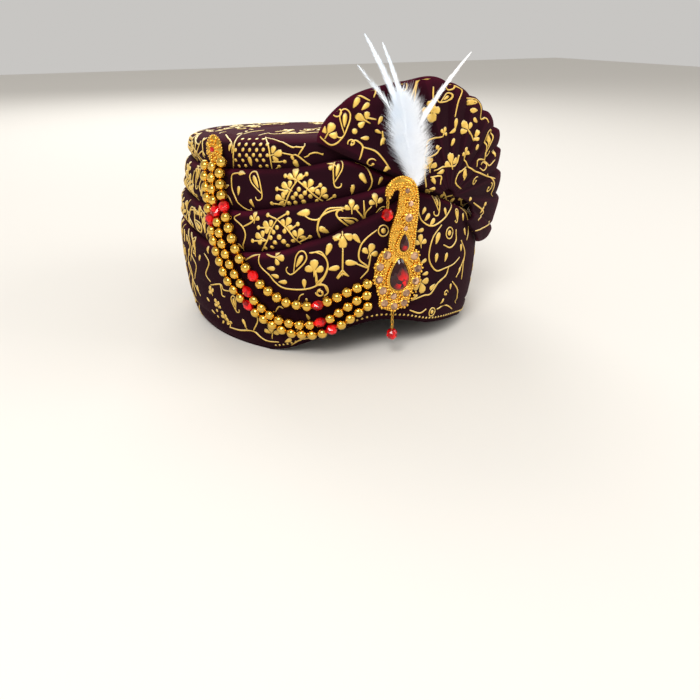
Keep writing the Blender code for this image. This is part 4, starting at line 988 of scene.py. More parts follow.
def add_motif(foil, surface, kind, a, b, values):
    """One motif of a kind at a place on the cloth."""
    if kind == "dot":
        add_pad(foil, surface, a, b, values[0] * circle(10))
    elif kind == "drop":
        length, degrees = values
        shape = drop_shape(length, length * 0.50, degrees)
        add_pad(foil, surface, a, b, shape - turned(((length / 2, 0.0),), degrees))
    elif kind == "sprig":
        size, degrees = values
        for side, share in ((-66, 0.52), (0, 0.66), (66, 0.52)):
            root = turned(((-0.28 * size, 0.0),), degrees)[0]
            root = root + turned(((0.05 * size, 0.0),), degrees + side)[0]
            leaf = drop_shape(size * share, size * share * 0.78, degrees + side, root, 10)
            add_pad(foil, surface, a, b, leaf)
        stalk = np.linspace((-0.55 * size, 0.0), (0.1 * size, 0.0), 6)
        add_stem(foil, surface, a, b, turned(stalk, degrees), 0.5)
    elif kind == "ringed":
        ring = circle(16)
        add_stem(foil, surface, a, b, np.vstack((ring, ring[:1])) * values[0], 0.5)
        add_pad(foil, surface, a, b, ring[::2] * values[0] * 0.55)
    elif kind == "curl":
        radius, degrees, hand = values
        t = np.linspace(0, 1, 15)
        spiral = np.stack((np.cos(t * 5.2), hand * np.sin(t * 5.2)), axis=1)
        spiral = turned(spiral * (radius * (1 - 0.62 * t))[:, None], degrees)
        add_stem(foil, surface, a, b, spiral, 0.55)
        add_pad(foil, surface, a, b, spiral[-1] + circle(8))
    elif kind == "paisley":
        length, degrees, hand = values
        outline = smooth_line(np.array(PAISLEY_LINE) * length, STEM_STEP)
        add_stem(foil, surface, a, b, turned(outline * np.array((1, hand)), degrees), 0.55)
        inside = drop_shape(length * 0.56, length * 0.20, 0, (-length * 0.22, 0.0))
        inside[:, 1] -= length * 0.015
        inside = inside * np.array((1, hand))
        add_pad(foil, surface, a, b, turned(inside if hand > 0 else inside[::-1], degrees))


def print_surface(foil, surface, table):
    """The table's print for a surface, with its repeats."""
    shifts, (first, last) = PRINT_REPEATS[surface]
    for shift in (0, *shifts):
        for kind, rows in table.items():
            for row in rows:
                start = row[0][0] if kind == "stroke" else row[0]
                if shift and not first <= start <= last:
                    continue
                if kind == "stroke":
                    spots = np.array(row) + np.array((shift, 0.0))
                    flat = flat_place(surface, spots[:, 0], spots[:, 1])
                    if np.linalg.norm(np.diff(flat, axis=0), axis=1).max() < 40:
                        line = smooth_line(flat, STEM_STEP) - flat[0]
                        add_stem(foil, surface, spots[0, 0], spots[0, 1], line, STEM_HALF_WIDTH)
                else:
                    add_motif(foil, surface, kind, row[0] + shift, row[1], row[2:])


def foil_material(name):
    """Pressed gold foil: fine sparkling grain, worn thin in spots, and painted paler on surfaces that face
    up, as painted top light.
    """
    material, tree, shader = new_material(name)
    pile = add_pile(tree, shader, (220.0, 2600.0), (0.34, 0.58), 0.5, 0.0002)
    face = tree.nodes.new("ShaderNodeNewGeometry")
    axes = tree.nodes.new("ShaderNodeSeparateXYZ")
    upward = tree.nodes.new("ShaderNodeMapRange")
    upward.inputs["From Min"].default_value = 0.35
    upward.inputs["From Max"].default_value = 0.95
    grain = add_mix(tree, (0.62, 0.36, 0.045), (0.90, 0.61, 0.14))
    # Surfaces that face up are mixed towards a pale gold: painted top light.
    painted_top_light = add_mix(tree, None, (0.90, 0.76, 0.40))
    link(tree, (face.outputs["Normal"], axes.inputs["Vector"]), (axes.outputs["Z"], upward.inputs["Value"]),
         (pile.outputs["Patches"], grain.inputs[0]), (grain.outputs[2], painted_top_light.inputs[6]),
         (upward.outputs["Result"], painted_top_light.inputs[0]), (painted_top_light.outputs[2], shader.inputs["Base Color"]))
    shader.inputs["Metallic"].default_value = 0.35
    return material


foil_gold = foil_material("pressed_gold_foil")
for surface, table in FOIL_PRINT.items():
    foil = ([], [])
    print_surface(foil, surface, table)
    if surface == "crown":
        # The low turn's length of print, laid flat in three rows across the top
        for shift in TOP_ROWS:
            for kind, rows in FOIL_PRINT["low_wrap"].items():
                for row in rows:
                    spots = np.array(row if kind == "stroke" else (row[:2],), float)
                    flat = flat_place("low_wrap", spots[:, 0], spots[:, 1]) + np.array(shift)
                    if np.hypot(flat[:, 0], flat[:, 1] * 0.93).max() > TOP_REACH:
                        continue
                    if kind == "stroke":
                        line = smooth_line(flat, STEM_STEP) - flat[0]
                        add_stem(foil, "crown_top", flat[0, 0], flat[0, 1], line, STEM_HALF_WIDTH)
                    else:
                        add_motif(foil, "crown_top", kind, flat[0, 0], flat[0, 1], row[2:])
    if surface == "low_wrap":
        first, last, step, above, size = RIM_DOTS
        for angle in np.arange(first, last, step):
            below = (fold_height(surface, angle) - rim_height(angle)) / MM - above
            add_motif(foil, surface, "dot", angle, below, (size,))
        # Small leaves crowd together where the turn passes out of sight beside the fan
        for k in range(34):
            angle, below = 46.0 + 7.3 * k % 18, 5.0 + 2.3 * k
            if below < (fold_height(surface, angle) - rim_height(angle)) / MM - 5:
                kind = ("drop", "sprig")[k % 3 == 0]
                add_motif(foil, surface, kind, angle, below, (6.5, 70 + 47 * k % 90))
    piece = mesh_piece("foil_print_" + surface, np.vstack(foil[0]), foil[1], foil_gold)
    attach(piece, "root")

# Hook brooch setting. A gilt plate and a broad stem that hooks over at the top, soldered from
# sheet, twisted wire and hundreds of grains, with round clear stones in scalloped cups.
# Places on it are millimetres right, up and out from the middle of its large red stone.
KALGI_MIDDLE = np.array((-0.0100, -0.1258, 0.0618))
KALGI_TURN = -4.0
KALGI_STEM = (
    (0.9, 9.0, 8.0), (1.3, 20.1, 9.6), (2.3, 30.0, 9.1), (3.3, 40.0, 8.0), (4.0, 49.9, 6.8),
    (2.9, 57.0, 6.0), (-0.8, 60.6, 4.6), (-5.6, 60.8, 3.4), (-9.4, 57.9, 2.6), (-10.6, 53.6, 1.9),
)
PLATE_OUTLINE = (
    (0.0, 14.5), (9.0, 16.0), (14.5, 9.5), (16.0, 2.0), (15.0, -6.5), (9.5, -14.5), (7.5, -21.5),
    (1.5, -24.5), (-4.0, -26.0), (-9.5, -24.0), (-14.5, -20.5), (-14.5, -13.0), (-17.5, -4.0),
    (-17.5, 7.0), (-12.0, 17.0),
)
# Place and radius of each clear stone's cup
CUP_STONES = (
    (-9.9, 14.6, 3.9), (-14.7, 6.9, 3.7), (-15.3, -1.6, 3.7), (-12.4, -9.8, 3.7), (-4.2, -14.9, 3.2),
    (5.3, -13.9, 3.6), (12.3, -6.4, 3.6), (13.5, 2.2, 3.6), (10.6, 11.4, 3.7), (-10.9, -19.0, 3.5),
    (-3.6, -22.2, 3.5), (3.9, -20.9, 3.4), (3.9, 38.7, 3.7), (4.4, 48.0, 2.6), (2.4, 31.4, 2.3),
    (1.6, 56.4, 2.3),
)
# Name, place, length and width
RED_STONES = (("large", 0.0, 0.0, 22.5, 15.0), ("small", 2.1, 21.6, 12.5, 7.4))
SHEET_RISE = 1.5
STEM_BACK = 0.3
STEM_RISE = 2.4
STEM_STAND = 2.6
CLAW_SIZE = 0.95
# Size of the grains in a row and the step between them
STONE_ROW = (0.80, 1.55)
STEM_ROW = (0.85, 1.6)
PLATE_GRAIN = 0.75
LOOSE_GRAINS = (0.72, 1.10)


def kalgi_place(points):
    """World points from millimetres right, up and out of the brooch's middle."""
    turn = math.radians(KALGI_TURN)
    right = np.array((math.cos(turn), math.sin(turn), 0.0))
    out = np.array((math.sin(turn), -math.cos(turn), 0.0))
    up = np.array((0, 0, 1.0))
    points = np.asarray(points, float) * MM
    return KALGI_MIDDLE + points[..., :1] * right + points[..., 1:2] * up + points[..., 2:] * out


def stem_stand(up):
    """The stem bows out from the plate until its hook clears the cloth's upper folds."""
    return STEM_STAND * soft_step((up - 26.0) / 20.0)


def drop_outline(length, width, count):
    """A drop shape, point up, counter-clockwise."""
    t = -np.arange(count) * 2 * math.pi / count
    across = np.sin(t) * (1 - 0.42 * np.cos(t)) / 1.08 * width / 2
    return np.stack((across, np.cos(t) * length / 2), axis=1)


def gilt_material(name, colour, roughness):
    """Warm gilt metal, hammered a little, with painted shade: darker in random patches, meant for the shade
    in its hollows.
    """
    material, tree, shader = new_material(name)
    pile = add_pile(tree, shader, (300.0, 1400.0), (roughness, roughness + 0.12), 0.15, 0.0002)
    # Random patches are mixed towards a darker copy of the colour: painted shade.
    painted_shade_patches = add_mix(tree, [c * 0.55 for c in colour], colour)
    link(tree, (pile.outputs["Patches"], painted_shade_patches.inputs[0]), (painted_shade_patches.outputs[2], shader.inputs["Base Color"]))
    shader.inputs["Metallic"].default_value = 1.0
    return material


def grain_tree(name):
    """Geometry Nodes: a small ball on every point, as large as the point's size attribute says."""
    tree = bpy.data.node_groups.new(name, "GeometryNodeTree")
    tree.interface.new_socket("Geometry", in_out="INPUT", socket_type="NodeSocketGeometry")
    tree.interface.new_socket("Roundness", in_out="INPUT", socket_type="NodeSocketInt")
    tree.interface.new_socket("Metal", in_out="INPUT", socket_type="NodeSocketMaterial")
    tree.interface.new_socket("Geometry", in_out="OUTPUT", socket_type="NodeSocketGeometry")
    source, result = tree.nodes.new("NodeGroupInput"), tree.nodes.new("NodeGroupOutput")
    ball = tree.nodes.new("GeometryNodeMeshIcoSphere")
    ball.inputs["Radius"].default_value = 1.0
    size = tree.nodes.new("GeometryNodeInputNamedAttribute")
    size.data_type = "FLOAT"
    size.inputs["Name"].default_value = "size"
    place = tree.nodes.new("GeometryNodeInstanceOnPoints")
    real = tree.nodes.new("GeometryNodeRealizeInstances")
    shade = tree.nodes.new("GeometryNodeSetShadeSmooth")
    metal = tree.nodes.new("GeometryNodeSetMaterial")
    link(tree, (source.outputs["Geometry"], place.inputs["Points"]),
         (source.outputs["Roundness"], ball.inputs["Subdivisions"]),
         (ball.outputs["Mesh"], place.inputs["Instance"]), (size.outputs["Attribute"], place.inputs["Scale"]),
         (place.outputs["Instances"], real.inputs["Geometry"]),
         (real.outputs["Geometry"], shade.inputs["Geometry"]),
         (shade.outputs["Geometry"], metal.inputs["Geometry"]),
         (source.outputs["Metal"], metal.inputs["Material"]),
         (metal.outputs["Geometry"], result.inputs["Geometry"]))
    return tree


grains_on_points = grain_tree("grains_on_points")


def grains(name, spots, sizes, roundness, material):
    """One mesh of balls at world spots, made by the node tree and then plain."""
    seeds = bpy.data.meshes.new(name + "_spots")
    seeds.from_pydata(np.asarray(spots, float).reshape(-1, 3).tolist(), [], [])
    attribute = seeds.attributes.new("size", "FLOAT", "POINT")
    sizes = np.broadcast_to(np.asarray(sizes, float), len(seeds.vertices))
    attribute.data.foreach_set("value", sizes.copy())
    piece = bpy.data.objects.new(name, seeds)
    bpy.context.scene.collection.objects.link(piece)
    modifier = piece.modifiers.new("grains", "NODES")
    modifier.node_group = grains_on_points
    sockets = {item.name: item.identifier for item in grains_on_points.interface.items_tree
               if item.in_out == "INPUT"}
    modifier[sockets["Roundness"]] = roundness
    modifier[sockets["Metal"]] = material
    graph = bpy.context.evaluated_depsgraph_get()
    solid = bpy.data.meshes.new_from_object(piece.evaluated_get(graph))
    piece.modifiers.clear()
    piece.data = solid
    return piece


class Solids:
    """Points and faces of several closed shapes that make one piece."""

    def __init__(self):
        self.points = []
        self.faces = []

    def add(self, rings, closed_way=False):
        """A closed shape from rings of points, its ends capped unless it closes on itself."""
        rings = np.asarray(rings, float)
        base, (rows, columns) = len(self.points), rings.shape[:2]
        self.points += rings.reshape(-1, 3).tolist()
        self.faces += [tuple(base + i for i in face) for face in sheet_faces(rows, columns, closed_way, True)]
        if not closed_way:
            self.faces.append(tuple(base + i for i in range(columns))[::-1])
            self.faces.append(tuple(base + (rows - 1) * columns + i for i in range(columns)))

    def piece(self, name, material, smooth_degrees=40):
        """The mesh, smooth up to an angle, or flat with none."""
        piece = mesh_piece(name, self.points, self.faces, material)
        if smooth_degrees:
            piece.data.set_sharp_from_angle(angle=math.radians(smooth_degrees))
        else:
            piece.data.shade_flat()
        return piece


def around(side, other, count):
    """Directions round a line, from two across it at each of its points."""
    ring = circle(count)
    return ring[None, :, :1] * side[:, None] + ring[None, :, 1:] * other[:, None]


def way_along(line):
    """Length of a line up to each of its points."""
    return np.concatenate(([0.0], np.cumsum(np.linalg.norm(np.diff(line, axis=0), axis=1))))


def wire_rings(line, radius, sides=6, closed=False):
    """Rings of a round wire along a line of points."""
    line = np.asarray(line, float)
    if closed:
        way = np.roll(line, -1, axis=0) - np.roll(line, 1, axis=0)
    else:
        way = np.gradient(line, axis=0)
    way /= np.linalg.norm(way, axis=1, keepdims=True)
    hint = np.array((0.31, 0.87, 0.38))
    side = np.cross(way, hint)
    side /= np.linalg.norm(side, axis=1, keepdims=True)
    other = np.cross(way, side)
    radius = np.broadcast_to(radius, len(line))[:, None, None]
    return line[:, None] + radius * around(side, other, sides)


def flat_layers(outline, layers):
    """Rings of an outline at shares of its size and heights out of the brooch."""
    centre = np.asarray(outline).mean(axis=0)
    rings = []
    for share, out in layers:
        ring = centre + (np.asarray(outline) - centre) * share
        rings.append(kalgi_place(np.column_stack((ring, np.full(len(ring), out)))))
    return rings


kalgi_gilt = gilt_material("kalgi_gilt", (1.0, 0.58, 0.09), 0.20)
setting = Solids()
plate = smooth_line(np.array(PLATE_OUTLINE + PLATE_OUTLINE[:1], float), 1.5)[:-1][::-1]
setting.add(flat_layers(plate, ((0.98, 0.0), (1.0, 0.4), (1.0, SHEET_RISE - 0.5), (0.97, SHEET_RISE))))
spine = smooth_line(np.array(KALGI_STEM), 1.4)
spine_way = np.gradient(spine[:, :2], axis=0)
spine_way /= np.linalg.norm(spine_way, axis=1, keepdims=True)
spine_side = np.stack((spine_way[:, 1], -spine_way[:, 0]), axis=1)
section = ((-1.0, 0.0), (-0.98, 0.5), (-0.72, 0.85), (-0.3, 1.0), (0.3, 1.0), (0.72, 0.85), (0.98, 0.5),
           (1.0, 0.0))
rings = []
for share, rise in section:
    flat = spine[:, :2] + spine_side * spine[:, 2:3] * share
    out = STEM_BACK + stem_stand(spine[:, 1]) + STEM_RISE * rise
    rings.append(kalgi_place(np.column_stack((flat, out))))
setting.add(np.stack(rings, axis=1)[:, ::-1])


def ground(u, v):
    """Height of the gold under a place on the brooch, and whether it is on the stem."""
    gaps = np.hypot(spine[:, 0] - u, spine[:, 1] - v)
    i = int(gaps.argmin())
    across = min(gaps[i] / spine[i, 2], 1.0)
    if v > 13.0 or (v > 8.0 and across < 0.6):
        return STEM_BACK + stem_stand(v) + STEM_RISE * (1 - 0.35 * across ** 3)
    return SHEET_RISE


spots, sizes = [], []
for u, v, radius in CUP_STONES:
    base = ground(u, v) - 0.5
    cup = np.array((u, v)) + radius * 0.90 * circle(16)
    setting.add(flat_layers(cup, ((1.12, base), (1.06, base + 1.5), (0.86, base + 2.0), (0.80, base + 1.2))))
    for x, y in radius * 1.05 * circle(max(int(round(radius * 2.6)), 7)):
        spots.append((u + x, v + y, base + 1.3))
        sizes.append(CLAW_SIZE)
for name, u, v, length, width in RED_STONES:
    base = SHEET_RISE if name == "large" else ground(u, v)
    rim = drop_outline(length + 2.6, width + 2.6, 48) + np.array((u, v))
    layers = ((1.0, base - 0.6), (1.0, base + 1.0), (0.93, base + 1.5), (0.91, base + 1.2))
    setting.add(flat_layers(rim, layers))
    edge = drop_outline(length + 3.2, width + 3.2, 400) + np.array((u, v))
    along = way_along(edge)
    for place in np.arange(0, along[-1], STONE_ROW[1]):
        i = int(np.searchsorted(along, place))
        spots.append((edge[i, 0], edge[i, 1], base + 0.9))
        sizes.append(STONE_ROW[0])
for share in (-0.97, 0.97):
    edge = spine[:, :2] + spine_side * spine[:, 2:3] * share
    along = way_along(edge)
    for place in np.arange(0.0, along[-1], STEM_ROW[1]):
        u, v = (np.interp(place, along, edge[:, k]) for k in (0, 1))
        spots.append((u, v, STEM_BACK + stem_stand(v) + STEM_RISE * 0.70))
        sizes.append(STEM_ROW[0])
for spot in plate:
    spots.append((*spot * 0.985, SHEET_RISE - 0.1))
    sizes.append(PLATE_GRAIN)
random = np.random.default_rng(11)
for row, v in enumerate(np.arange(-25.0, 63.0, 2.0)):
    for u in np.arange(-18.0, 18.0, 2.3) + 1.15 * (row % 2):
        gaps = np.hypot(spine[:, 0] - u, spine[:, 1] - v) / spine[:, 2]
        inside_stem = gaps.min() < 0.84
        inside_plate = (np.linalg.norm(plate - np.array((u, v)), axis=1).min() > 1.2
                        and -25 < v < 15 and abs(u + 0.8) < 16
                        and ((u + 0.8) / 16.3) ** 2 + ((v + 4.5) / 21.0) ** 2 < 1)
        on_cup = any(math.hypot(u - a, v - b) < radius * 1.1 for a, b, radius in CUP_STONES)
        on_red = any(abs(u - a) < width * 0.60 + 0.6 and abs(v - b) < length * 0.54 + 0.6
                     for _, a, b, length, width in RED_STONES)
        if on_cup or on_red or not (inside_stem or inside_plate):
            continue
        jitter = random.uniform(-0.3, 0.3, 2)
        spots.append((u + jitter[0], v + jitter[1], ground(u, v) + 0.1))
        sizes.append(random.uniform(*LOOSE_GRAINS))
plate_piece = setting.piece("kalgi_setting_plate", kalgi_gilt)
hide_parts("kalgi_setting")
grain_piece = grains("kalgi_grains", kalgi_place(np.array(spots)), np.array(sizes) * MM, 2, kalgi_gilt)
for piece in (plate_piece, grain_piece):
    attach(piece, "root")

# Clear stones. Round cut glass of a pale champagne tint, foiled behind, one in each cup.
clear, tree, shader = new_material("champagne_glass")
# The glass's colour runs from dark to pale in small random cells: painted facet reflections.
painted_facet_cells = tree.nodes.new("ShaderNodeTexVoronoi")
painted_facet_cells.inputs["Scale"].default_value = 420.0
tint = add_mix(tree, (0.07, 0.022, 0.008), (0.85, 0.50, 0.28))
place = tree.nodes.new("ShaderNodeTexCoord")
link(tree, (place.outputs["Object"], painted_facet_cells.inputs["Vector"]), (painted_facet_cells.outputs["Color"], tint.inputs[0]),
     (tint.outputs[2], shader.inputs["Base Color"]))
shader.inputs["Roughness"].default_value = 0.04
shader.inputs["Metallic"].default_value = 0.55
shader.inputs["Coat Weight"].default_value = 0.5
shader.inputs["Coat Roughness"].default_value = 0.02
stones = Solids()
for u, v, radius in CUP_STONES:
    base = ground(u, v) + 0.3
    t = (np.arange(10) + 0.5) * 2 * math.pi / 10
    girdle = np.stack((u + radius * 0.80 * np.cos(t), v + radius * 0.80 * np.sin(t)), axis=1)
    layers = ((0.9, base), (1.0, base + 0.9), (0.82, base + 1.5), (0.48, base + 1.95))
    stones.add(flat_layers(girdle, layers))
clear_piece = stones.piece("kalgi_clear_stones", clear, 0)
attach(clear_piece, "root")

# Red stones. Two drop-shaped cut stones of dark red glass, a table over two rows of facets.
# Light that falls through them gathers as a bright red patch low on each, painted into the glass's colour.
# Share of the outline and rise of each row of facets
STONE_LAYERS = ((0.92, 0), (1.0, 1.3), (0.80, 2.6), (0.50, 3.4))


def red_glass(name, dark, bright):
    """Dark glass painted bright where light gathers in it, a painted light broken up in facets."""
    material, tree, shader = new_material(name)
    painted_glow = tree.nodes.new("ShaderNodeAttribute")
    painted_glow.attribute_name = "painted_glow"
    painted_facet_cells = tree.nodes.new("ShaderNodeTexVoronoi")
    painted_facet_cells.inputs["Scale"].default_value = 330.0
    place = tree.nodes.new("ShaderNodeTexCoord")
    mask = tree.nodes.new("ShaderNodeMath")
    mask.operation = "MULTIPLY"
    tint = add_mix(tree, dark, bright)
    shade = tree.nodes.new("ShaderNodeSeparateColor")
    facet = tree.nodes.new("ShaderNodeMapRange")
    facet.inputs["From Min"].default_value = 0.15
    facet.inputs["From Max"].default_value = 0.75
    link(tree, (place.outputs["Object"], painted_facet_cells.inputs["Vector"]),
         (painted_facet_cells.outputs["Color"], shade.inputs["Color"]),
         (shade.outputs["Red"], facet.inputs["Value"]), (facet.outputs["Result"], mask.inputs[0]),
         (painted_glow.outputs["Fac"], mask.inputs[1]), (mask.outputs["Value"], tint.inputs[0]),
         (tint.outputs[2], shader.inputs["Base Color"]))
    shader.inputs["Roughness"].default_value = 0.03
    shader.inputs["IOR"].default_value = 1.42
    shader.inputs["Coat Weight"].default_value = 0.15
    shader.inputs["Coat Roughness"].default_value = 0.02
    return material


def mark_painted_glow(piece, values):
    """Where painted light gathers in a piece of glass, from 0 to 1."""
    attribute = piece.data.attributes.new("painted_glow", "FLOAT", "POINT")
    attribute.data.foreach_set("value", np.clip(np.asarray(values, float), 0.0, 1.0))


drop_glass = red_glass("dark_red_glass", (0.020, 0.0003, 0.0008), (0.95, 0.002, 0.004))
for name, u, v, length, width in RED_STONES:
    base = SHEET_RISE + 0.3 if name == "large" else ground(u, v) + 0.1
    stone = Solids()
    outline = drop_outline(length - 0.4, width - 0.4, 24)
    layers = [(share, base + rise) for share, rise in STONE_LAYERS]
    stone.add(flat_layers(outline + np.array((u, v)), layers))
    piece = stone.piece("kalgi_" + name + "_stone_cut", drop_glass, 0)
    flat = np.vstack([outline * share for share, _ in STONE_LAYERS])
    off = np.hypot((flat[:, 0] - 0.12 * width) / (0.36 * width),
                   (flat[:, 1] + 0.22 * length) / (0.26 * length))
    mark_painted_glow(piece, 1.25 - off * 0.9)
    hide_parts("kalgi_" + name + "_stone")
    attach(piece, "root")

# Red drops. Two faceted round crystals, each hung on a short chain of wire links: one from the
# tip of the hook, one from the foot of the plate.
# Name, middle of the crystal and height of the chain's top
DROPS = (
    ("hook_drop", (-0.02076, -0.12858, 0.10328), 0.11480),
    ("bottom_drop", (-0.01417, -0.12680, 0.01880), 0.03620),
)
DROP_RADIUS = 0.0039
LINK_LENGTH = 0.0030
LINK_HALF_WIDTH = 0.0009
LINK_WIRE = 0.00032
LINK_OVERLAP = 0.0003
crystal_red = red_glass("bright_red_crystal", (0.22, 0.0008, 0.002), (0.95, 0.006, 0.008))
# Way along a cut bead and share of its radius there
BEAD_ROWS = ((-1.0, 0.30), (-0.82, 0.62), (-0.36, 0.96), (0.36, 0.96), (0.82, 0.62), (1.0, 0.30))


def cut_bead(solids, centre, way, half_length, radius, sides=10):
    """A crystal with rows of flat facets round a hole, along a direction."""
    way = np.asarray(way, float) / np.linalg.norm(way)
    side = np.cross(way, (0.13, 0.21, 0.97))
    side /= np.linalg.norm(side)
    other = np.cross(way, side)
    rings = []
    for k, (along, share) in enumerate(BEAD_ROWS):
        turns = (np.arange(sides) + 0.5 * (k % 2)) * 2 * math.pi / sides
        ring = np.cos(turns)[:, None] * side + np.sin(turns)[:, None] * other
        rings.append(np.asarray(centre) + way * along * half_length + ring * share * radius)
    solids.add(rings)


for name, centre, top in DROPS:
    crystal = Solids()
    cut_bead(crystal, centre, (0.05, 0.02, 1.0), DROP_RADIUS, DROP_RADIUS)
    piece = crystal.piece(name + "_crystal", crystal_red, 0)
    heights = np.array([p[2] for p in crystal.points])
    # The crystal is painted brighter towards its bottom: painted light gathering low in it.
    mark_painted_glow(piece, 0.9 - (heights - centre[2]) / DROP_RADIUS * 0.6)
    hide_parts(name)
    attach(piece, "root")
    links = Solids()
    length = top - centre[2] - DROP_RADIUS
    count = max(int(round(length / LINK_LENGTH)), 1)
    pitch = length / count
    for k in range(count):
        flat = circle(12) * np.array((LINK_HALF_WIDTH, pitch * 0.5 + LINK_OVERLAP))
        middle = np.array(centre) + np.array((0, 0, DROP_RADIUS + pitch * (k + 0.5)))
        turn = math.radians(90 * k + 20)
        right = np.array((math.cos(turn), math.sin(turn), 0))
        ring = middle + flat[:, :1] * right + flat[:, 1:] * np.array((0, 0, 1.0))
        links.add(wire_rings(ring, LINK_WIRE, 6, True), True)
    chain = links.piece(name + "_chain", kalgi_gilt)
    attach(chain, "root")

# Bead strings. Three strings of bright hollow gold balls with a few red crystals, threaded on wire.
# They hang from the side brooch, lie on the velvet in a loose curve and end behind the hook brooch.
BALL_RADIUS = 0.0036
BALL_PITCH = {"upper": 0.00730, "middle": 0.00740, "lower": 0.00740}
BALL_GAP = 0.0006
STRING_WIRE = 0.0003
# Number of each red bead along its string, and its length as a share of a ball's
RED_BEADS = {"upper": ((5, 1.0), (12, 1.0), (19, 1.35)), "middle": ((5, 1.1), (13, 1.35), (21, 1.35)),
             "lower": ((6, 1.1), (15, 1.35), (24, 1.0))}
# Angle on the body and share of its height
STRING_ROUTES = {
    "upper": (
        (-64.3, 0.985), (-65, 0.910), (-63.5, 0.816), (-61, 0.709), (-58.5, 0.609),
        (-55.5, 0.516), (-50.5, 0.431), (-45, 0.362), (-38.5, 0.315), (-32, 0.308),
        (-25.5, 0.347), (-19.5, 0.397), (-16, 0.418), (-13.3, 0.432),
    ),
    "middle": (
        (-69.2, 0.957), (-69, 0.890), (-67.5, 0.783), (-65, 0.676), (-62.5, 0.568),
        (-58, 0.430), (-53.5, 0.344), (-48, 0.267), (-42, 0.215), (-35, 0.203),
        (-28, 0.229), (-22.5, 0.290), (-17, 0.351), (-13.5, 0.376),
    ),
    "lower": (
        (-74.0, 0.955), (-73.3, 0.890), (-71, 0.788), (-69, 0.680), (-67, 0.574),
        (-64.5, 0.480), (-61.5, 0.385), (-56.5, 0.303), (-50.5, 0.233), (-44.5, 0.180),
        (-38, 0.150), (-31.5, 0.151), (-25, 0.189), (-20, 0.242), (-16, 0.293), (-13.2, 0.320),
    ),
}


def string_path(route):
    """Points along a string, each a ball's seat out from the cloth and its print."""
    rows = [(i, degrees, share) for i, (degrees, share) in enumerate(route)]
    ways = np.linspace(0, len(rows) - 1, 12 * (len(rows) - 1) + 1)
    degrees, heights = curve(ways, rows, 1), curve(ways, rows, 2) * BODY_HEIGHT
    reach = BALL_RADIUS + BALL_GAP
    seats = [grid_value(cloth_reach, degrees, heights + s * reach) + reach * math.sqrt(1 - s * s)
             for s in np.linspace(-0.95, 0.95, 13)]
    radii = np.max(seats, axis=0)
    span = 8
    wide = np.array([radii[max(i - span, 0):i + span + 1].max() for i in range(len(radii))])
    even = np.array([wide[max(i - span, 0):i + span + 1].mean() for i in range(len(wide))])
    turns = np.radians(degrees)
    return np.stack((even * np.sin(turns), -even * np.cos(turns), heights), axis=1) + AXIS


ball_gilt = gilt_material("bead_gilt", (1.0, 0.62, 0.11), 0.07)
for name, route in STRING_ROUTES.items():
    path = string_path(route)
    along = way_along(path)
    count = round(along[-1] / BALL_PITCH[name])
    middles = (np.arange(count) + 0.5) * along[-1] / count
    spots = np.stack([np.interp(middles, along, path[:, k]) for k in range(3)], axis=1)
    red = dict(RED_BEADS[name])
    gold_spots = np.array([spot for i, spot in enumerate(spots) if i + 1 not in red])
    balls = grains("bead_string_" + name + "_balls", gold_spots, BALL_RADIUS, 4, ball_gilt)
    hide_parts("bead_string_" + name)
    wire = Solids()
    wire.add(wire_rings(path[::3], STRING_WIRE))
    thread = wire.piece("bead_string_" + name + "_wire", ball_gilt)
    crystals, painted_glow = Solids(), []
    for number, stretch in red.items():
        i = number - 1
        way = spots[min(i + 1, count - 1)] - spots[i - 1]
        start = len(crystals.points)
        radius = BALL_RADIUS * (1.06 if stretch < 1.3 else 0.92)
        cut_bead(crystals, spots[i], way, BALL_RADIUS * min(stretch, 1.12), radius)
        # Each red bead is painted brighter towards its bottom: painted light gathering low in it.
        painted_glow += [0.95 - (p[2] - spots[i][2]) / BALL_RADIUS * 0.5 for p in crystals.points[start:]]
    jewels = crystals.piece("bead_string_" + name + "_crystals", crystal_red, 0)
    mark_painted_glow(jewels, painted_glow)
    for piece in (balls, thread, jewels):
        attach(piece, "root")

# Side brooch. A small gilt flower of eight petals, edged with grains, with a tiny red stone in
# the middle. It is pinned to the crown's shoulder and carries the top ends of the strings.
FLOWER_ANGLE = -69.5
FLOWER_WAY = 0.62
FLOWER_RADIUS = 9.3
FLOWER_WIDTH = 0.86  # as a share of its height
# Share of the outline and height of the flower's layers
FLOWER_LAYERS = ((0.96, 0.0), (1.0, 0.4), (0.98, 1.1), (0.80, 1.7), (0.52, 1.5), (0.40, 2.2), (0.30, 2.6))
# Reach, size and height of the three grains on each petal, and of the grains round the edge
PETAL_GRAINS = ((0.86, 1.25, 1.3), (0.62, 1.1, 1.9), (0.40, 0.85, 2.4))
EDGE_GRAINS = (0.98, 0.62, 0.9)
flower_middle = crown_points(FLOWER_ANGLE, FLOWER_WAY, 0.0036)
flower_up = crown_points(FLOWER_ANGLE, 0.90) - crown_points(FLOWER_ANGLE, 0.10)
flower_up /= np.linalg.norm(flower_up)
turn = math.radians(FLOWER_ANGLE)
flower_right = np.array((math.cos(turn), math.sin(turn), 0.0))
flower_out = np.cross(flower_right, flower_up)


def flower_place(points):
    """World points from millimetres right, up and out of the flower's middle."""
    points = np.asarray(points, float) * MM
    return (flower_middle + points[..., :1] * flower_right + points[..., 1:2] * flower_up
            + points[..., 2:] * flower_out)


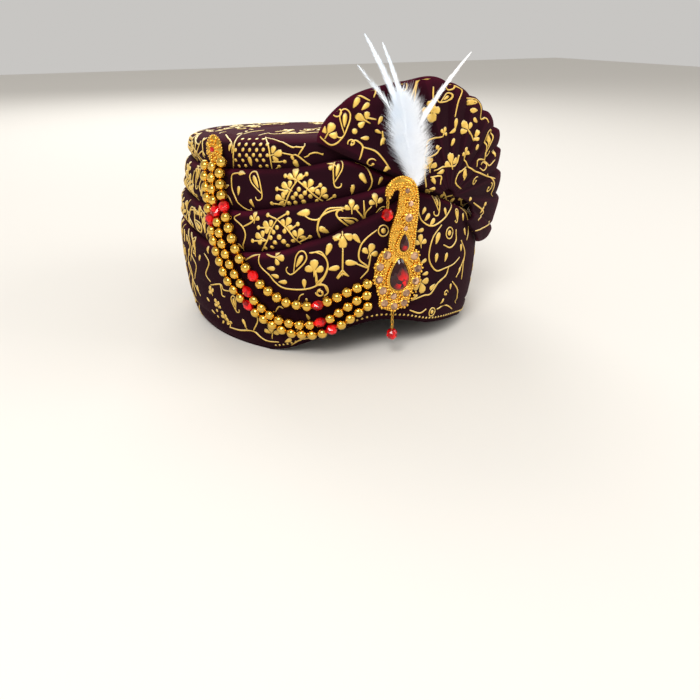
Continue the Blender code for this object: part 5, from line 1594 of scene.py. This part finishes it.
flower = Solids()
t = np.arange(48) * 2 * math.pi / 48
petals = FLOWER_RADIUS * (0.86 + 0.12 * np.abs(np.cos(4 * t)))
outline = np.stack((petals * np.cos(t) * FLOWER_WIDTH, petals * np.sin(t)), axis=1)
flower.add([flower_place(np.column_stack((outline * share, np.full(48, rise))))
            for share, rise in FLOWER_LAYERS])
spots, sizes = [], []
dots = [(math.pi * (k + 0.5) / 4, *values) for k in range(8) for values in PETAL_GRAINS]
dots += [(2 * math.pi * k / 30, *EDGE_GRAINS) for k in range(30)]
for turn, reach, size, rise in dots:
    reach = FLOWER_RADIUS * reach
    spots.append((reach * math.cos(turn) * FLOWER_WIDTH, reach * math.sin(turn), rise))
    sizes.append(size)
flower_piece = flower.piece("side_brooch_flower", kalgi_gilt)
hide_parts("side_brooch")
flower_spots = flower_place(np.array(spots))
flower_grains = grains("side_brooch_grains", flower_spots, np.array(sizes) * MM, 2, kalgi_gilt)
heart = Solids()
cut_bead(heart, flower_place((0.0, 0.0, 2.8)), flower_out, 0.0011, 0.0019)
heart_piece = heart.piece("side_brooch_stone", crystal_red, 0)
# The tiny stone gets an even painted glow, broken up in facets: painted light in the glass.
mark_painted_glow(heart_piece, np.full(len(heart.points), 0.7))
for piece, slot in ((flower_piece, "gold"), (flower_grains, "gold"), (heart_piece, "red_stone")):
    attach(piece, "root")

# Feather plume. One downy white feather with three long vanes and a thin fourth one, its quill
# behind the arch of the brooch. Thousands of fine barbs leave the quill and curl outwards.
PLUME_HEIGHT = 92.5
PLUME_FOOT = (5.8, 54.9, 1.6)
DOWN_BARBS = 5200
DOWN_WIDTH = 0.075
VANE_WIDTH = 0.13
# Way up the quill, its middle and half width there, as shares of the plume's height
PLUME_BODY = (
    (0.00, 0.045, 0.018), (0.09, 0.036, 0.050), (0.20, 0.000, 0.105), (0.34, -0.036, 0.160),
    (0.47, -0.054, 0.152), (0.58, -0.080, 0.100), (0.68, -0.105, 0.042),
)
# Foot and tip of each vane and its half width, as shares of the height, and its count of barbs
PLUME_VANES = (
    (-0.06, 0.42, -0.352, 1.000, 0.050, 520), (-0.03, 0.42, -0.228, 0.950, 0.042, 420),
    (0.030, 0.36, 0.432, 0.885, 0.040, 520), (-0.08, 0.40, -0.400, 0.820, 0.055, 70),
)


def add_barbs(solids, roots, ways, lengths, bends, width):
    """Thin three-sided hairs, each a soft curve from its root to a fine tip."""
    steps = np.array((0.0, 0.35, 0.7, 1.0))
    taper = np.array((1.0, 0.85, 0.55, 0.12))
    steps = steps[None, :, None]
    line = roots[:, None] + lengths[:, None, None] * (ways[:, None] * steps + bends[:, None] * steps ** 2)
    way = line[:, -1] - line[:, 0]
    way /= np.linalg.norm(way, axis=1, keepdims=True)
    side = np.cross(way, np.array((0.0, 0.15, 1.0)))
    side /= np.linalg.norm(side, axis=1, keepdims=True)
    other = np.cross(way, side)
    ring = around(side, other, 3)
    points = line[:, :, None] + (width * taper)[None, :, None, None] * ring[:, None]
    base = len(solids.points)
    solids.points += kalgi_place(points.reshape(-1, 3)).tolist()
    quads = np.array(sheet_faces(4, 3, False, True))
    for i in range(len(roots)):
        start = base + i * 12
        solids.faces += [tuple(face) for face in (quads + start).tolist()]
        solids.faces += [(start + 2, start + 1, start), (start + 9, start + 10, start + 11)]


def vane_spots(u0, v0, u1, v1, t):
    """Places along a vane's quill."""
    return np.stack((u0 + (u1 - u0) * t ** 1.3, v0 + (v1 - v0) * t, 0 * t), axis=1) * PLUME_HEIGHT


random = np.random.default_rng(23)
foot = np.array(PLUME_FOOT)
down = Solids()
share = random.uniform(0.02, 0.62, DOWN_BARBS)
middle = curve(share, PLUME_BODY, 1) * PLUME_HEIGHT
half = curve(np.clip(share + 0.10, 0, 0.68), PLUME_BODY, 2) * PLUME_HEIGHT
roots = foot + np.stack((middle, share * PLUME_HEIGHT, random.normal(0, 0.35, DOWN_BARBS)), axis=1)
side = random.choice((-1.0, 1.0), DOWN_BARBS) * random.uniform(0.15, 1.0, DOWN_BARBS)
lift = random.uniform(0.35, 1.15, DOWN_BARBS)
out = np.clip(random.normal(0.0, 0.25, DOWN_BARBS), -0.5, 0.5)
ways = np.stack((side, lift, out), axis=1)
ways /= np.linalg.norm(ways, axis=1, keepdims=True)
lengths = half * random.uniform(0.85, 1.35, DOWN_BARBS) / np.maximum(np.abs(ways[:, 0]) + 0.25, 0.5)
lengths = np.clip(lengths, 1.5, 17.0)
rise = random.uniform(-0.10, 0.22, DOWN_BARBS)
bends = np.stack((0.10 * np.sign(side), rise, random.normal(0, 0.06, DOWN_BARBS)), axis=1)
add_barbs(down, roots, ways, lengths, bends, DOWN_WIDTH)
quills = Solids()
for u0, v0, u1, v1, width, count in PLUME_VANES:
    t = random.uniform(0.12, 0.99, count)
    roots = foot + vane_spots(u0, v0, u1, v1, t)
    along = np.stack(((u1 - u0) * 1.3 * t ** 0.3, np.full(count, v1 - v0), np.zeros(count)), axis=1)
    along /= np.linalg.norm(along, axis=1, keepdims=True)
    across = np.stack((along[:, 1], -along[:, 0], np.zeros(count)), axis=1)
    across *= random.choice((-1.0, 1.0), count)[:, None]
    room = width * PLUME_HEIGHT * (1.0 - t) ** 0.55
    ways = along + across * random.uniform(0.12, 0.30, count)[:, None]
    ways /= np.linalg.norm(ways, axis=1, keepdims=True)
    lengths = np.minimum(room * 2.4, (1.0 - t) * PLUME_HEIGHT * (v1 - v0) + 1.5)
    bends = along * 0.12 + random.normal(0, 0.03, (count, 3))
    add_barbs(down, roots, ways, lengths, bends, VANE_WIDTH)
    line = foot + vane_spots(u0, v0, u1, v1, np.linspace(0.0, 1.0, 24))
    quills.add(wire_rings(kalgi_place(line), np.linspace(0.00038, 0.00008, 24)))
t = np.linspace(-0.02, 0.55, 20)
line = foot + np.stack((curve(np.clip(t, 0, 1), PLUME_BODY, 1), t, 0 * t), axis=1) * PLUME_HEIGHT
quills.add(wire_rings(kalgi_place(line), np.linspace(0.0008, 0.0003, 20)))

feather, tree, shader = new_material("white_down")
place = tree.nodes.new("ShaderNodeTexCoord")
axes = tree.nodes.new("ShaderNodeSeparateXYZ")
left = tree.nodes.new("ShaderNodeMapRange")
left.inputs["From Min"].default_value = 0.004
left.inputs["From Max"].default_value = -0.020
pile = tree.nodes.new("ShaderNodeGroup")
pile.node_tree = cloth_pile
pile.inputs["Patch Size"].default_value = 130.0
mask = tree.nodes.new("ShaderNodeMath")
mask.operation = "MULTIPLY"
tint = add_mix(tree, (0.90, 0.90, 0.91), (0.70, 0.80, 0.90))
link(tree, (place.outputs["Object"], axes.inputs["Vector"]), (axes.outputs["X"], left.inputs["Value"]),
     (left.outputs["Result"], mask.inputs[0]), (pile.outputs["Patches"], mask.inputs[1]),
     (mask.outputs["Value"], tint.inputs[0]), (tint.outputs[2], shader.inputs["Base Color"]))
shader.inputs["Roughness"].default_value = 0.6
shader.inputs["Sheen Weight"].default_value = 0.1
# A faint pale emission brightens the down: a painted glow, not a lamp.
shader.inputs["Emission Color"].default_value = (0.92, 0.95, 1.0, 1.0)
shader.inputs["Emission Strength"].default_value = 0.10
down_piece = down.piece("plume_down", feather, 60)
quill_piece = quills.piece("plume_quills", feather, 60)
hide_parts("plume")
for piece in (down_piece, quill_piece):
    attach(piece, "root")
